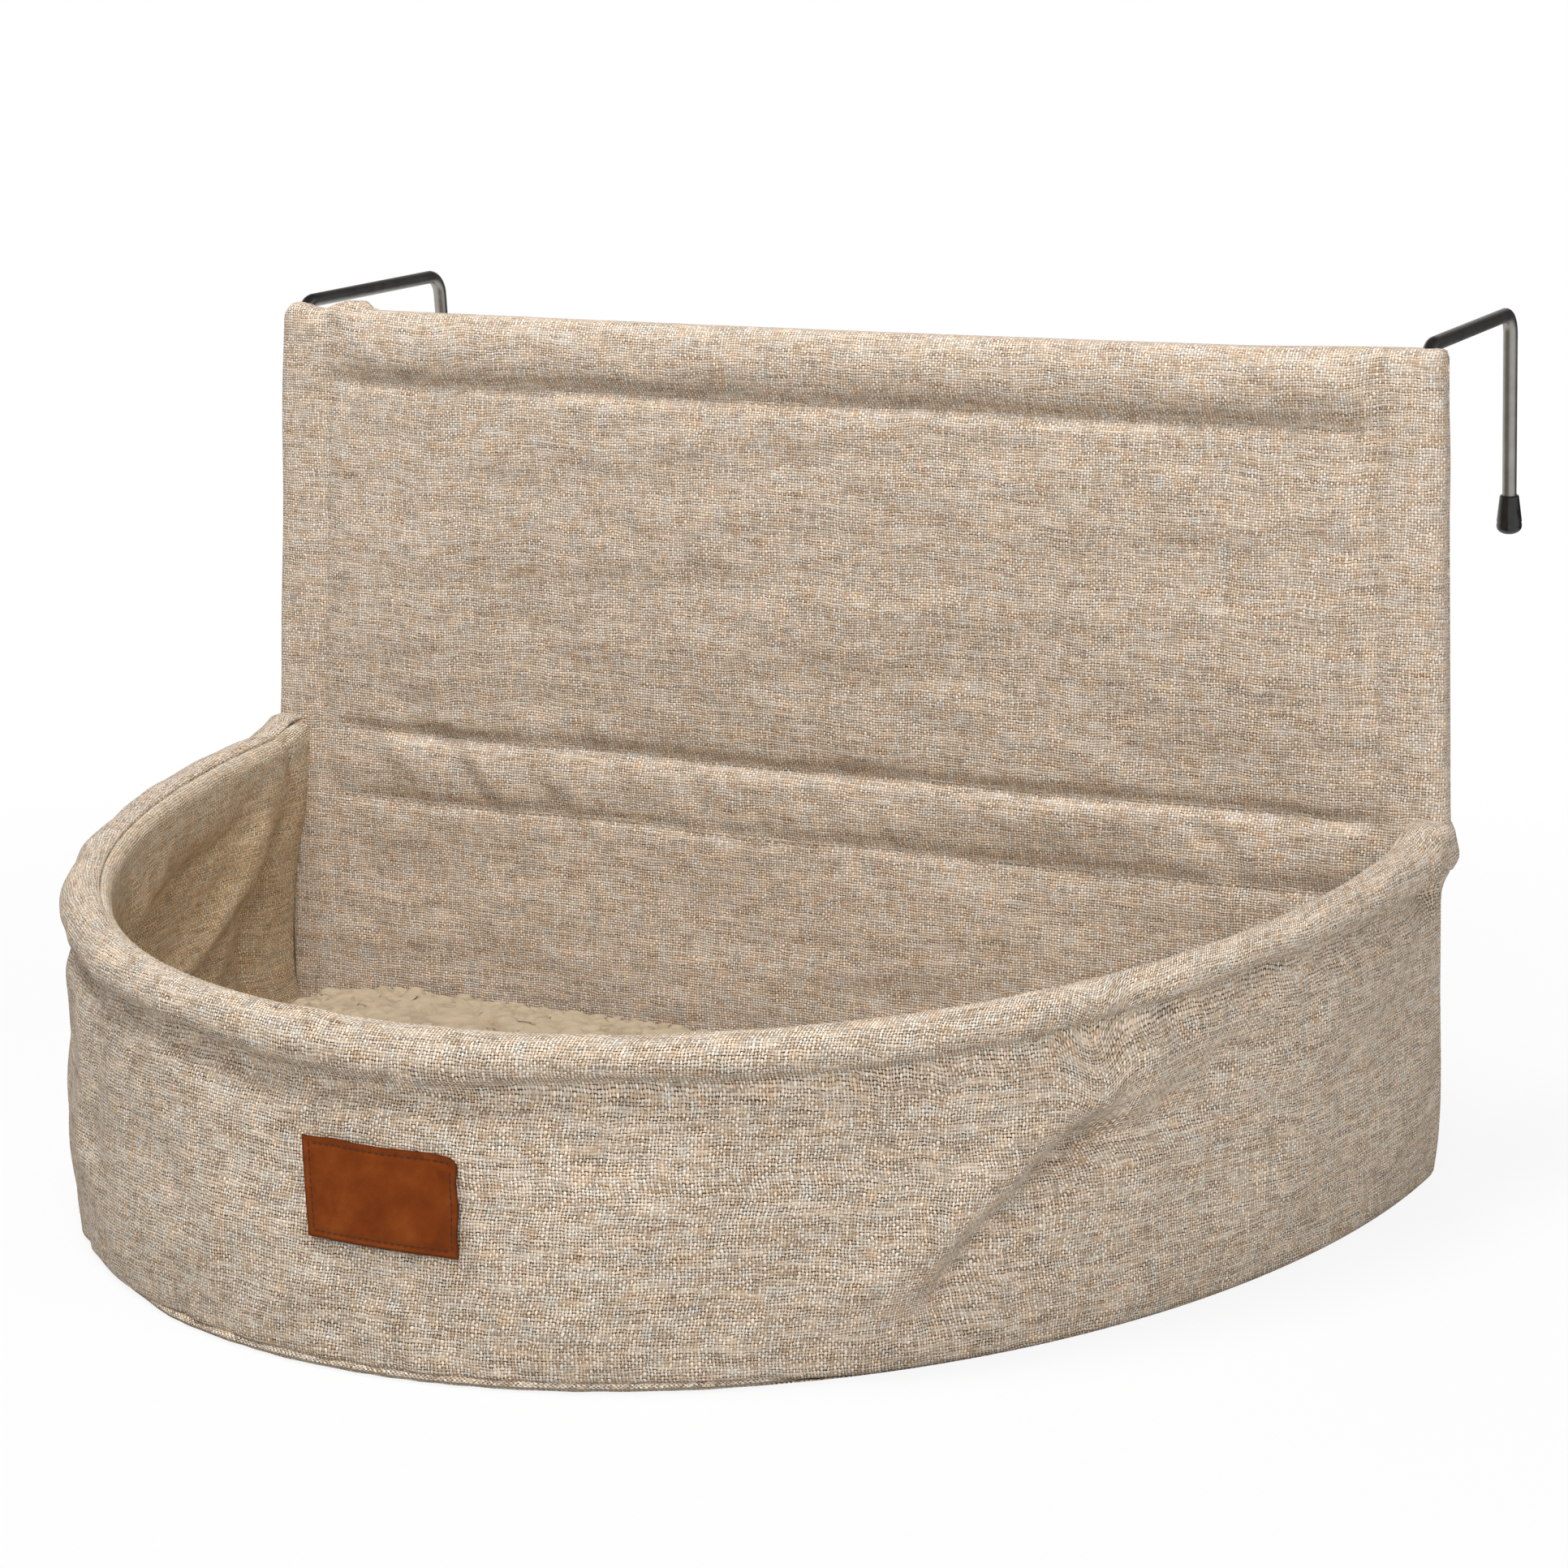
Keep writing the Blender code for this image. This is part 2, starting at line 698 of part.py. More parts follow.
def make_backrest():
    """The backrest's two cloths and the wadding between them."""
    make_front_panel()
    plate("backrest_rear_panel", rear_outline(), fabric, linen, bed,
          (0, -fabric / 2, 0), upright=True)
    (rim_low, rim_high), (top_low, top_high) = channel_levels()
    across = 2 * (upright_half_spacing - sleeve_width)
    margin = 2 * crease_width
    rod_top = base_level + base_rod_height + wire_radius
    middle = -(fabric + seat_gap + wadding_thickness / 2)
    for name, low, high in (("backrest_upper_wadding", rim_high, top_low),
                            ("backrest_lower_wadding", rod_top, rim_low)):
        box(name, (across, wadding_thickness, high - low - 2 * margin), wadding_thickness / 3,
            wadding, bed, (0, middle, (low + high) / 2))


def make_wall():
    """Outer cloth of the basket, up over the rim's roll to the seam on its inner side."""
    rows = [wall_row(share, 0.0, 0.0, wall_columns, wall_foot_level, wall_folds)
            for share in wall_shares]
    for step in range(roll_outer_steps + 1):
        angle = mix(crease_angle, seam_angle, step / roll_outer_steps)
        rows.append(roll_row(angle, rim_roll_radius, wall_columns))
    bm, rings = loft(rows)
    wall = mesh_object("basket_wall_outer", bm, linen, bed, smooth_angle=60)
    orient_outward(wall)
    add_solidify(wall, fabric, -1)


def lining_inset(hang_share):
    """How far inside the wall's outer face the lining hangs: 0 flat on it, 1 level with the roll."""
    roll_inset = crease_offset - rim_roll_radius * math.cos(roll_inner_angle)
    return mix(wall_thickness, roll_inset, hang_share)


def lining_rows():
    """Rows of the lining, from the rim seam over the roll's inner side down to the floor."""
    first = seam_angle + 2 * seat_gap / rim_roll_radius
    rows = []
    for step in range(roll_inner_steps + 1):
        angle = mix(first, roll_inner_angle, step / roll_inner_steps)
        rows.append(roll_row(angle, rim_roll_radius, wall_columns))
    for share, hang_share in lining_hang:
        rows.append(wall_row(share, lining_inset(hang_share), front_trim, wall_columns,
                             lining_foot_level, wall_folds + lining_folds))
    return rows


def make_lining():
    bm, rings = loft(lining_rows())
    lining = mesh_object("basket_wall_lining", bm, linen, bed, smooth_angle=60)
    orient_outward(lining)
    add_solidify(lining, fabric, 1)


def make_wall_wadding():
    """A thin layer of wadding between the wall's outer cloth and its lining."""
    inset = fabric + 2 * seat_gap
    rows = [wall_row(share, inset, front_trim, wall_columns, wall_foot_level, wall_folds)
            for share in wall_shares[1:-2]]
    bm, rings = loft(rows)
    layer = mesh_object("basket_wall_wadding", bm, wadding, bed, smooth_angle=60)
    orient_outward(layer)
    add_solidify(layer, wall_wadding_thickness, -1)


def base_outline(inset, start, count):
    """Plan of a flat piece of the floor, a given inset inside the basket's foot."""
    points = d_outline(base_half_width - inset, 0.0, base_reach - inset, base_fullness,
                       start, count)
    return [(float(x), float(y)) for x, y in points]


def make_floor():
    """The floor: outer cloth, stiff board and inner cloth, with a welt round its front."""
    outer_inset = piping_radius + seat_gap
    plate("base_panel", base_outline(outer_inset, panel_thickness, plate_points), fabric,
          linen, bed, (0, 0, base_level + fabric / 2))
    inner_inset = wall_thickness + 2 * seat_gap
    rear = -(channel_puff + 2 * seat_gap)
    plate("base_board", base_outline(inner_inset, rear, plate_points), board_thickness,
          hardboard, bed, (0, 0, board_level + board_thickness / 2))
    seam_inset = lining_inset(lining_hang[-1][1]) + 2 * seat_gap
    plate("base_lining", base_outline(seam_inset, rear, plate_points), fabric,
          linen, bed, (0, 0, floor_level - fabric / 2))
    welt = d_outline(base_half_width, 0.0, base_reach, base_fullness,
                     panel_thickness - seat_gap, hoop_points)
    level = base_level + piping_radius + seat_gap
    wire("base_piping", [(x, y, level) for x, y in welt], piping_radius, hoop_sides_resolution,
         linen, bed)


def cushion_outline():
    """Plan of the cushion: a D with rounded rear corners and sides drawn in between them."""
    rear = front_plane - cushion_rear_gap
    front = d_outline(cushion_half_width, rim_lead, cushion_reach, rim_fullness,
                      -cushion_rear_gap - cushion_corner_radius, cushion_front_points)
    points = []
    for index, (x, y) in enumerate(front):
        share = index / (len(front) - 1)
        draw = cushion_draw_in * math.sin(2 * math.pi * share) ** 2
        points.append(Vector((x * (1 - draw / cushion_half_width), y, 0.0)))
    corner = cushion_half_width - cushion_corner_radius
    centre_y = rear - cushion_corner_radius
    for turn in corner_turns:
        points.append(Vector((corner + cushion_corner_radius * math.cos(turn),
                              centre_y + cushion_corner_radius * math.sin(turn), 0.0)))
    for share in cushion_rear_shares:
        draw = cushion_draw_in * math.cos(math.pi / 2 * share) ** 2
        points.append(Vector((corner * share, rear - draw, 0.0)))
    for turn in reversed(corner_turns):
        points.append(Vector((-corner - cushion_corner_radius * math.cos(turn),
                              centre_y + cushion_corner_radius * math.sin(turn), 0.0)))
    return points


def disc_rows(outline, centre, rings):
    """Rows of a disc: the outline drawn in to each share, at each height."""
    return [[centre + (point - centre) * share + Vector((0, 0, height)) for point in outline]
            for share, height in rings]


def close_disc(bm, ring, centre):
    """A fan of triangles from the last ring to a centre point."""
    hub = bm.verts.new(centre)
    for i, vert in enumerate(ring):
        bm.faces.new((vert, ring[(i + 1) % len(ring)], hub))


def crown_rings(height, shares, power):
    """Share and height of each ring of a crowned disc, above an upright band at its seam."""
    band = math.copysign(seam_band, height)
    rises = [(share, band + (height - band) * math.sqrt(1 - share ** power)) for share in shares]
    return [(1.0, 0.0)] + rises


def make_cushion():
    """The loose cushion: plush top, plain underside and the filling between them."""
    outline = cushion_outline()
    centre = Vector((0.0, front_plane - cushion_reach * cushion_centre_share, 0.0))
    seam = floor_level + seat_gap + cushion_seam_height
    shares = cushion_ring_shares
    join = seat_gap / 2
    origin = cushion.location

    def shell(name, height, power, level, thickness, material, sense):
        rings = [(share, level + rise) for share, rise in crown_rings(height, shares, power)]
        bm, ring_verts = loft(disc_rows(outline, centre, rings), wrap=True)
        close_disc(bm, ring_verts[-1], centre + Vector((0, 0, level + height)))
        bmesh.ops.translate(bm, verts=bm.verts, vec=-origin)
        cover = mesh_object(name, bm, material, None, smooth_angle=60)
        upward = sum(face.normal.z * face.area for face in cover.data.polygons)
        if upward * sense < 0:
            cover.data.flip_normals()
        cover.parent = cushion
        add_solidify(cover, thickness, -1)

    shell("cushion_cover_top", cushion_crown, crown_power, seam + join, plush_thickness, plush, 1)
    shell("cushion_cover_bottom", -cushion_seam_height, underside_power, seam - join, fabric, lining_cloth,
          -1)

    inner = [centre + (point - centre) * filling_share for point in outline]
    margin = plush_thickness + 3 * seat_gap
    under = fabric + 3 * seat_gap
    top = [(share, seam + join + rise) for share, rise in
           crown_rings(cushion_crown - margin, shares[:-1], crown_power)[1:]]
    bottom = [(share, seam - join + rise) for share, rise in
              crown_rings(-(cushion_seam_height - under), shares[:-1], underside_power)[1:]]
    rows = disc_rows(inner, centre, list(reversed(bottom)) + top)
    bm, ring_verts = loft(rows, wrap=True)
    close_disc(bm, ring_verts[-1], centre + Vector((0, 0, seam + join + cushion_crown - margin)))
    close_disc(bm, ring_verts[0], centre + Vector((0, 0, seam - join - cushion_seam_height + under)))
    bmesh.ops.translate(bm, verts=bm.verts, vec=-origin)
    filling = mesh_object("cushion_filling", bm, wadding, None, smooth_angle=60)
    filling.parent = cushion


def wall_point(arc_share, height_share, proud):
    """A place on the wall's outer face, moved outwards by proud, with folds left out."""
    count = 401
    row = wall_row(height_share, -proud, 0.0, count, wall_foot_level, wall_folds)
    position = arc_share * (count - 1)
    low = int(position)
    return Vector(row[low]).lerp(Vector(row[low + 1]), position - low)


def make_label():
    """A plain leather patch that follows the wall's curve at the middle of the front."""
    middle = wall_row(label_height_share, 0.0, 0.0, wall_columns, wall_foot_level, ())
    arc_length = np.sum(np.linalg.norm(np.diff(middle, axis=0), axis=1))
    front_height = rim_height - rim_droop_share * rim_reach - rim_roll_radius - crease_drop
    rows = []
    for row_step in range(label_rows + 1):
        row = []
        up = row_step / label_rows - 1 / 2
        for column_step in range(label_columns + 1):
            across = column_step / label_columns - 1 / 2
            arc = label_arc_share + label_width / arc_length * across
            height = label_height_share + label_height / front_height * up
            row.append(wall_point(arc, height, seat_gap + label_thickness))
        rows.append(row)
    bm, rings = loft(rows)
    label = mesh_object("label_patch", bm, leather, bed, smooth_angle=60)
    orient_outward(label)
    add_solidify(label, label_thickness, -1)


clear_scene()
parts = make_collection("radiator_cat_bed")
cutters = make_collection("cutters")
linen = make_material("linen", (0.55, 0.47, 0.38), 0.9)
lining_cloth = make_material("plain_cloth", (0.62, 0.57, 0.49), 0.9)
plush = make_material("plush", (0.80, 0.72, 0.58), 1.0)
wadding = make_material("wadding", (0.9, 0.9, 0.88), 1.0)
foam = make_material("foam", (0.75, 0.75, 0.72), 0.95)
hardboard = make_material("hardboard", (0.36, 0.25, 0.16), 0.8)
zinc = make_material("zinc", (0.52, 0.50, 0.46), 0.35, 1.0)
rubber = make_material("rubber", (0.02, 0.02, 0.02), 0.3)
leather = make_material("leather", (0.33, 0.12, 0.04), 0.55)
bed = make_empty("bed", (0, 0, 0))
cushion = make_empty("cushion", (0, front_plane - cushion_reach * cushion_centre_share, floor_level))

make_hangers()
cross_rod("top_cross_rod", panel_top - channel_height / 2)
cross_rod("rim_cross_rod", rim_level)
cross_rod("base_cross_rod", base_level + base_rod_height)
make_rim()
make_backrest()
make_wall()
make_lining()
make_wall_wadding()
make_floor()
make_cushion()
make_label()
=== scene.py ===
"""Radiator cat bed, dressed: flecked woven cover, plush cushion, wire hooks and a leather patch.

Metres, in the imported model's own frame. Each piece is built on the same outlines as the solids,
with the folds, puckers, stitches and threads that the real cloth has.
"""
import math
from functools import lru_cache

import bmesh
import bpy
import numpy as np
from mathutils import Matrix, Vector, kdtree


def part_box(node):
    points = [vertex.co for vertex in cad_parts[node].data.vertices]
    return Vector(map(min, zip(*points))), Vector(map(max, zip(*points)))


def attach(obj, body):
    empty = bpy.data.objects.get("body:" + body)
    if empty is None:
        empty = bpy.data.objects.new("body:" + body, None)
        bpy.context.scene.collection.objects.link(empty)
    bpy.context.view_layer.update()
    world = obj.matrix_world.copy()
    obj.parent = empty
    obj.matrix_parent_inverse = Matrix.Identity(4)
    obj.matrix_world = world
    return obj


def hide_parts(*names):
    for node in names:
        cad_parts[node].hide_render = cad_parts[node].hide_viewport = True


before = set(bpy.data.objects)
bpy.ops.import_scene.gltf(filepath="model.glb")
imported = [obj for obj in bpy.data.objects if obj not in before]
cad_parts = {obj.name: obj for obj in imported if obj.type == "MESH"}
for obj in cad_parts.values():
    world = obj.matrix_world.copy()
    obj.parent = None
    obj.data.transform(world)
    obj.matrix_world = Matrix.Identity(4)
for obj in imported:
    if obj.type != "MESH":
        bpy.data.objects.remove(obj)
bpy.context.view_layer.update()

# Sizes shared with the solids
panel_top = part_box("backrest_front_panel")[1].z
base_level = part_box("base_panel")[0].z
panel_thickness = 0.009
front_plane = -panel_thickness
panel_rim_half_width = 0.2294
panel_top_half_width = 0.2234
panel_base_half_width = 0.2259
panel_step_height = 0.007
channel_height = 0.026
sleeve_width = 0.022
rim_height = 0.1212
rim_half_width = 0.2234
rim_lead = 0.015
rim_reach = 0.2968
rim_fullness = 2.09
rim_roll_radius = 0.0085
rim_droop_share = 0.0693
base_side_flare = 0.0044
base_front_flare = 0.0192
base_fullness = 2.015
wall_bulge = 0.0025
bulge_power = 0.6
fold_end_share = 0.05
wall_thickness = 0.005
crease_angle = math.radians(-50)
seam_angle = math.radians(126)
roll_inner_angle = math.radians(200)
piping_radius = 0.0016
fabric = 0.001
seat_gap = 0.0003
wire_radius = 0.0025
bend_radius = 0.008
hook_reach = 0.0945
hook_rise_share = 0.0409
hook_drop = 0.0788
hook_opening = math.radians(4)
rod_plane = -(fabric + seat_gap + wire_radius)
upright_half_spacing = 0.21685
upright_foot = 0.008
cap_length = 0.014
cap_mouth_radius = 0.0033
cap_radius = 0.00445
cushion_lift_clearance = 0.0016
cushion_rear_gap = 0.0055
cushion_corner_radius = 0.016
cushion_draw_in = 0.0035
cushion_crown = 0.024
cushion_seam_height = 0.009

# What follows from them
base_half_width = rim_half_width + base_side_flare
base_reach = rim_reach + base_front_flare
rim_top = base_level + rim_height
rim_level = rim_top - rim_roll_radius
floor_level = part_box("base_lining")[1].z
wall_foot_level = base_level + 2 * piping_radius + 2 * seat_gap
lining_foot_level = floor_level + seat_gap
crease_offset = rim_roll_radius * math.cos(crease_angle)
crease_drop = -rim_roll_radius * math.sin(crease_angle)
roll_inset = crease_offset - rim_roll_radius * math.cos(roll_inner_angle)
wall_start = panel_thickness - seat_gap
cushion_half_width = rim_half_width - rim_roll_radius - cushion_lift_clearance
cushion_reach = rim_reach - rim_roll_radius - cushion_lift_clearance
cushion_seam_level = floor_level + seat_gap + cushion_seam_height
channels = ((rim_top - channel_height, rim_top), (panel_top - channel_height, panel_top))

# Folds: arc and height shares along each, how proud it stands and how wide it is
wall_folds = (
    (((0.684, 0.30), (0.708, 0.50), (0.726, 0.64), (0.742, 0.78), (0.780, 0.90)), 0.0062, 0.0150),
    (((0.702, 0.16), (0.720, 0.40), (0.742, 0.56), (0.758, 0.63)), -0.0078, 0.0100),
    (((0.758, 0.63), (0.798, 0.68), (0.820, 0.75), (0.862, 0.84)), -0.0052, 0.0120),
    (((0.850, 0.78), (0.868, 0.55), (0.862, 0.30)), 0.0026, 0.018),
    (((0.900, 0.85), (0.905, 0.40)), -0.0012, 0.014),
    (((0.600, 0.55), (0.640, 0.20)), 0.0012, 0.020),
    (((0.468, 0.10), (0.486, 0.25)), 0.0022, 0.009),
    (((0.494, 0.08), (0.506, 0.24)), -0.0020, 0.008),
    (((0.325, 0.90), (0.332, 0.35)), 0.0020, 0.010),
    (((0.350, 0.85), (0.345, 0.45)), -0.0016, 0.010),
    (((0.400, 0.95), (0.415, 0.70)), 0.0010, 0.012),
    (((0.190, 0.90), (0.205, 0.20)), -0.0022, 0.014),
)
lining_folds = (
    (((0.018, 0.90), (0.037, 0.68), (0.045, 0.45), (0.050, 0.12)), 0.0050, 0.0062),
    (((0.050, 0.80), (0.062, 0.62), (0.090, 0.50), (0.125, 0.40)), -0.0068, 0.0100),
    (((0.070, 0.42), (0.100, 0.15)), -0.0040, 0.0090),
    (((0.055, 0.90), (0.100, 0.80), (0.160, 0.69), (0.190, 0.58)), 0.0052, 0.0080),
    (((0.150, 0.50), (0.190, 0.25)), -0.0036, 0.0120),
    (((0.035, 1.0), (0.060, 1.0), (0.100, 0.97), (0.157, 0.89), (0.190, 0.82)), -0.0038, 0.0080),
    (((0.012, 0.80), (0.015, 0.10)), -0.0022, 0.006),
    (((0.930, 0.95), (0.860, 0.25)), -0.0030, 0.013),
)
# Crease under the rim: arc share, how far it strays from its line, its depth and its width
crease_arcs, crease_shifts, crease_depths, crease_widths = np.transpose((
    (0.0, 0.0, 0.0020, 0.0050),
    (0.40, -0.0020, 0.0038, 0.0058),
    (0.455, -0.0035, 0.0038, 0.0058),
    (0.527, -0.0050, 0.0033, 0.0054),
    (0.594, 0.0015, 0.0028, 0.0052),
    (0.652, 0.0, 0.0025, 0.0050),
    (0.731, 0.0005, 0.0030, 0.0056),
    (0.763, 0.0015, 0.0044, 0.0066),
    (0.828, 0.0015, 0.0056, 0.0070),
    (0.93, -0.0030, 0.0060, 0.0066),
    (0.985, -0.0050, 0.0060, 0.0058),
    (1.0, -0.0050, 0.0050, 0.0050),
))
# How far the lining hangs in from the wall towards the roll's inner side, by height share
hang_heights, hang_shares = np.transpose((
    (0.0, 0.8), (0.06, 0.3), (0.16, 0.1), (0.32, 0.1), (0.5, 0.24), (0.68, 0.5), (0.82, 0.84),
    (0.90, 1.0), (1.0, 1.0)))

# Ripples of the cloth: the height, the seed and the wavelength of each
seam_strength_ripple = (0.35, 5, 0.06)
seam_ripple = (0.0006, 17, 0.11)
panel_ripple = (0.00055, 23, 0.045)
panel_pucker = (0.00022, 29, 0.017)
channel_pucker = (0.00045, 31, 0.024)
panel_side_ripple = (0.0004, 41, 0.05)
rear_ripple = (0.0005, 47, 0.05)
wall_ripple = (0.0008, 53, 0.055)
wall_pucker = (0.0003, 59, 0.02)
foot_pucker = (0.0006, 61, 0.012)
crease_pucker = (0.0008, 67, 0.022)
roll_ripple = (0.0004, 71, 0.03)
lining_ripple = (0.0010, 73, 0.05)
lining_pucker = (0.0003, 79, 0.018)
base_ripple = (0.0002, 83, 0.07)
floor_ripple = (0.0002, 89, 0.05)
welt_lumps = (0.06, 97, 0.012)
patch_top_ripple = (0.00035, 101, 0.014)
patch_side_ripple = (0.00030, 103, 0.016)
cushion_ripple = (0.0009, 101, 0.07)

# Thread and weave
warp_spacing = 0.00103
weft_spacing = 0.00094
stitch_length = 0.0026
stitch_gap = 0.0009
stitch_radius = 0.00032
patch_stitch_length = 0.0017
patch_stitch_gap = 0.0006
patch_stitch_radius = 0.00020

# Patch: arc and height shares of its corners, from the top left round to the foot left
label_corners = ((0.4778, 0.778), (0.5372, 0.768), (0.5402, 0.416), (0.4847, 0.428))
label_thickness = 0.0014
label_width = 0.050
label_height = 0.031
label_seam_inset = 0.0021

# Plain colour and roughness of each material, before its nodes
plain_looks = {
    "linen": ((0.55, 0.47, 0.38), 0.9),
    "leather": ((0.31, 0.08, 0.02), 0.6),
    "plush": ((0.80, 0.72, 0.58), 1.0),
    "zinc": ((0.52, 0.50, 0.46), 0.34),
    "rubber": ((0.02, 0.02, 0.02), 0.3),
    "hardboard": ((0.36, 0.25, 0.16), 0.8),
    "plain_cloth": ((0.62, 0.57, 0.49), 0.9),
    "studio_floor": ((0.62, 0.62, 0.61), 0.9),
}
linen_tint = (0.92, 0.915, 0.925)
# Painted light: the backrest's copy is tinted a little lighter than the wall's.
backrest_lit_tint = (0.94, 0.925, 0.94)
# Painted shade: the lining's copy is tinted darker and warmer than the wall's, and darker still further
# down from its roll.
lining_shaded_tint = (0.90, 0.89, 0.86)
lining_painted_shade_tint = (0.90, 0.83, 0.71)
thread_colour = (0.52, 0.44, 0.35)
patch_thread_colour = (0.055, 0.022, 0.012)

# Camera, as solved from the photograph
lens_length = 88.11
sensor_width = 36.0
camera_place = (0.5799, -1.2195, 0.1106)
camera_forward = (-0.43151, 0.88004, -0.19834)
near_limit = 0.01

# Lamps: name, place, size, power and colour, all aimed at the bed's middle
bed_middle = (0.0, -0.15, -0.15)
white = (1.0, 1.0, 1.0)
lamps = (
    ("key_light", (0.66, -1.90, 1.0), 0.7, 21.5, (1.0, 0.985, 0.96)),
    ("side_light", (1.6, -0.45, 0.45), 0.8, 8.5, white),
    ("back_light", (-0.70, 1.70, 0.35), 0.9, 13.0, white),
    ("top_light", (-0.22, -0.50, 1.33), 0.7, 25.0, white),
)
ambient_colour = (1.0, 0.985, 0.965)
ambient_strength = 0.20
mirror_dimming = 0.94
floor_half_size = 12.0
floor_gap = 0.0002
floor_place = (0.0, -0.15, base_level - floor_gap)

outline_samples = 1440
wall_samples = 1601
tiny = 1e-9
least_length = 1e-12


def mix(low, high, share):
    return low + (high - low) * share


def smooth_step(value, low, high):
    share = np.clip((value - low) / (high - low), 0.0, 1.0)
    return share * share * (3 - 2 * share)


def ridge(distance, height, width):
    """A soft ridge over the places where the distance is zero."""
    return height * np.exp(-(distance / width) ** 2)


def waves(points, seed, wavelength):
    """A smooth random field of about -1 to 1, from seeded plane waves near one wavelength."""
    count = 28
    shortest, longest = 0.7, 1.6
    rng = np.random.default_rng(seed)
    directions = rng.normal(size=(count, points.shape[-1]))
    directions /= np.linalg.norm(directions, axis=1)[:, None]
    lengths = wavelength * rng.uniform(shortest, longest, count)
    phases = rng.uniform(0, 2 * math.pi, count)
    angles = points @ (2 * math.pi * directions / lengths[:, None]).T + phases
    return np.sin(angles).sum(axis=-1) / math.sqrt(count)


def ripple(points, kind):
    height, seed, wavelength = kind
    return height * waves(points, seed, wavelength)


def even_stops(count):
    return lambda length: np.linspace(0.0, length, count)


def end_stops(near, count):
    """Stops along a row of any length: close together at both ends."""
    def stops_of(length):
        middle = np.linspace(near[-1], length - near[-1], count)
        return np.concatenate((near[:-1], middle, (length - near)[::-1][1:]))
    return stops_of


# Meshes and grids
def link_object(name, data):
    obj = bpy.data.objects.new(name, data)
    bpy.context.scene.collection.objects.link(obj)
    return obj


def mesh_object(name, places, faces, material, body):
    mesh = bpy.data.meshes.new(name)
    mesh.from_pydata(places, [], faces)
    mesh.shade_smooth()
    mesh.materials.append(material)
    obj = link_object(name, mesh)
    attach(obj, body)
    return obj


def grid_object(name, grid, uv, material, body, wrap=False):
    """A mesh from a grid of points, with its cloth coordinates in metres."""
    rows, columns = grid.shape[:2]
    index = np.arange(rows * columns).reshape(rows, columns)
    if wrap:
        index = np.concatenate((index, index[:, :1]), axis=1)
    quads = np.stack((index[:-1, :-1], index[:-1, 1:], index[1:, 1:], index[1:, :-1]), axis=-1)
    quads = quads.reshape(-1, 4)
    obj = mesh_object(name, grid.reshape(-1, 3).tolist(), quads.tolist(), material, body)
    layer = obj.data.uv_layers.new(name="cloth_uv")
    layer.data.foreach_set("uv", uv.reshape(-1, 2)[quads.ravel()].ravel())
    return obj


def grid_normals(grid):
    """Unit normals of a grid of points, to the right of its columns and up its rows."""
    normals = np.cross(np.gradient(grid, axis=1), np.gradient(grid, axis=0))
    return normals / np.maximum(np.linalg.norm(normals, axis=-1), least_length)[..., None]


def grid_lengths(grid):
    """How far each point lies along its row and along its column."""
    across = np.linalg.norm(np.diff(grid, axis=1), axis=-1)
    along = np.linalg.norm(np.diff(grid, axis=0), axis=-1)
    u = np.concatenate((np.zeros((grid.shape[0], 1)), np.cumsum(across, axis=1)), axis=1)
    v = np.concatenate((np.zeros((1, grid.shape[1])), np.cumsum(along, axis=0)), axis=0)
    return u, v


def end_distance(u):
    """How far each point of a grid lies from the nearer end of its row."""
    return np.minimum(u - u[:, :1], u[:, -1:] - u)


def add_thickness(obj, thickness=fabric):
    """Give a sheet its thickness, behind the face that shows."""
    solidify = obj.modifiers.new("thickness", "SOLIDIFY")
    solidify.thickness = thickness
    solidify.offset = -1


def soften_rows(grid, centre, reach, rounds):
    """Round off a crease that runs along the rows."""
    low = max(centre - reach, 1)
    high = min(centre + reach, grid.shape[0] - 1)
    for _ in range(rounds):
        grid[low:high] = (grid[low - 1:high - 1] + 2 * grid[low:high] + grid[low + 1:high + 1]) / 4
    return grid


def rebuild(obj, change):
    """Put an object's mesh through a change made with bmesh."""
    mesh = bmesh.new()
    mesh.from_mesh(obj.data)
    change(mesh)
    bmesh.ops.recalc_face_normals(mesh, faces=mesh.faces)
    mesh.to_mesh(obj.data)
    mesh.free()


def close_ends(obj, sides):
    """Close the two open ends of a tube whose rings follow each other."""
    def change(mesh):
        mesh.verts.ensure_lookup_table()
        mesh.faces.new(mesh.verts[:sides])
        mesh.faces.new(list(reversed(mesh.verts[-sides:])))
    rebuild(obj, change)


def merge_doubles(obj):
    same_place = 0.000005
    rebuild(obj, lambda mesh: bmesh.ops.remove_doubles(mesh, verts=mesh.verts, dist=same_place))


# Outlines, as in the solids
def d_outline(half_width, lead, reach, fullness, start, stops_of):
    """Plan points of a D from its left end round the front, at the stops along its length."""
    angles = np.linspace(0.0, math.pi, outline_samples)
    cosines = np.cos(angles)
    across = -half_width * np.sign(cosines) * np.abs(cosines) ** (2 / fullness)
    along = -lead - (reach - lead) * np.abs(np.sin(angles)) ** (2 / fullness)
    across = np.concatenate(([-half_width], across, [half_width]))
    along = np.concatenate(([start], along, [start]))
    steps = np.hypot(np.diff(across), np.diff(along))
    travelled = np.concatenate(([0.0], np.cumsum(steps)))
    stops = stops_of(travelled[-1])
    x = np.interp(stops, travelled, across)
    y = np.interp(stops, travelled, along) + front_plane
    return np.column_stack((x, y)), stops / travelled[-1]


def plan_normals(points):
    """Outward normals of a plan outline that runs from its left end round the front."""
    tangents = np.gradient(points, axis=0)
    normals = np.column_stack((tangents[:, 1], -tangents[:, 0]))
    return normals / np.linalg.norm(normals, axis=1)[:, None]


def rim_height_at(along):
    return rim_level + rim_droop_share * np.minimum(along - front_plane, 0.0)


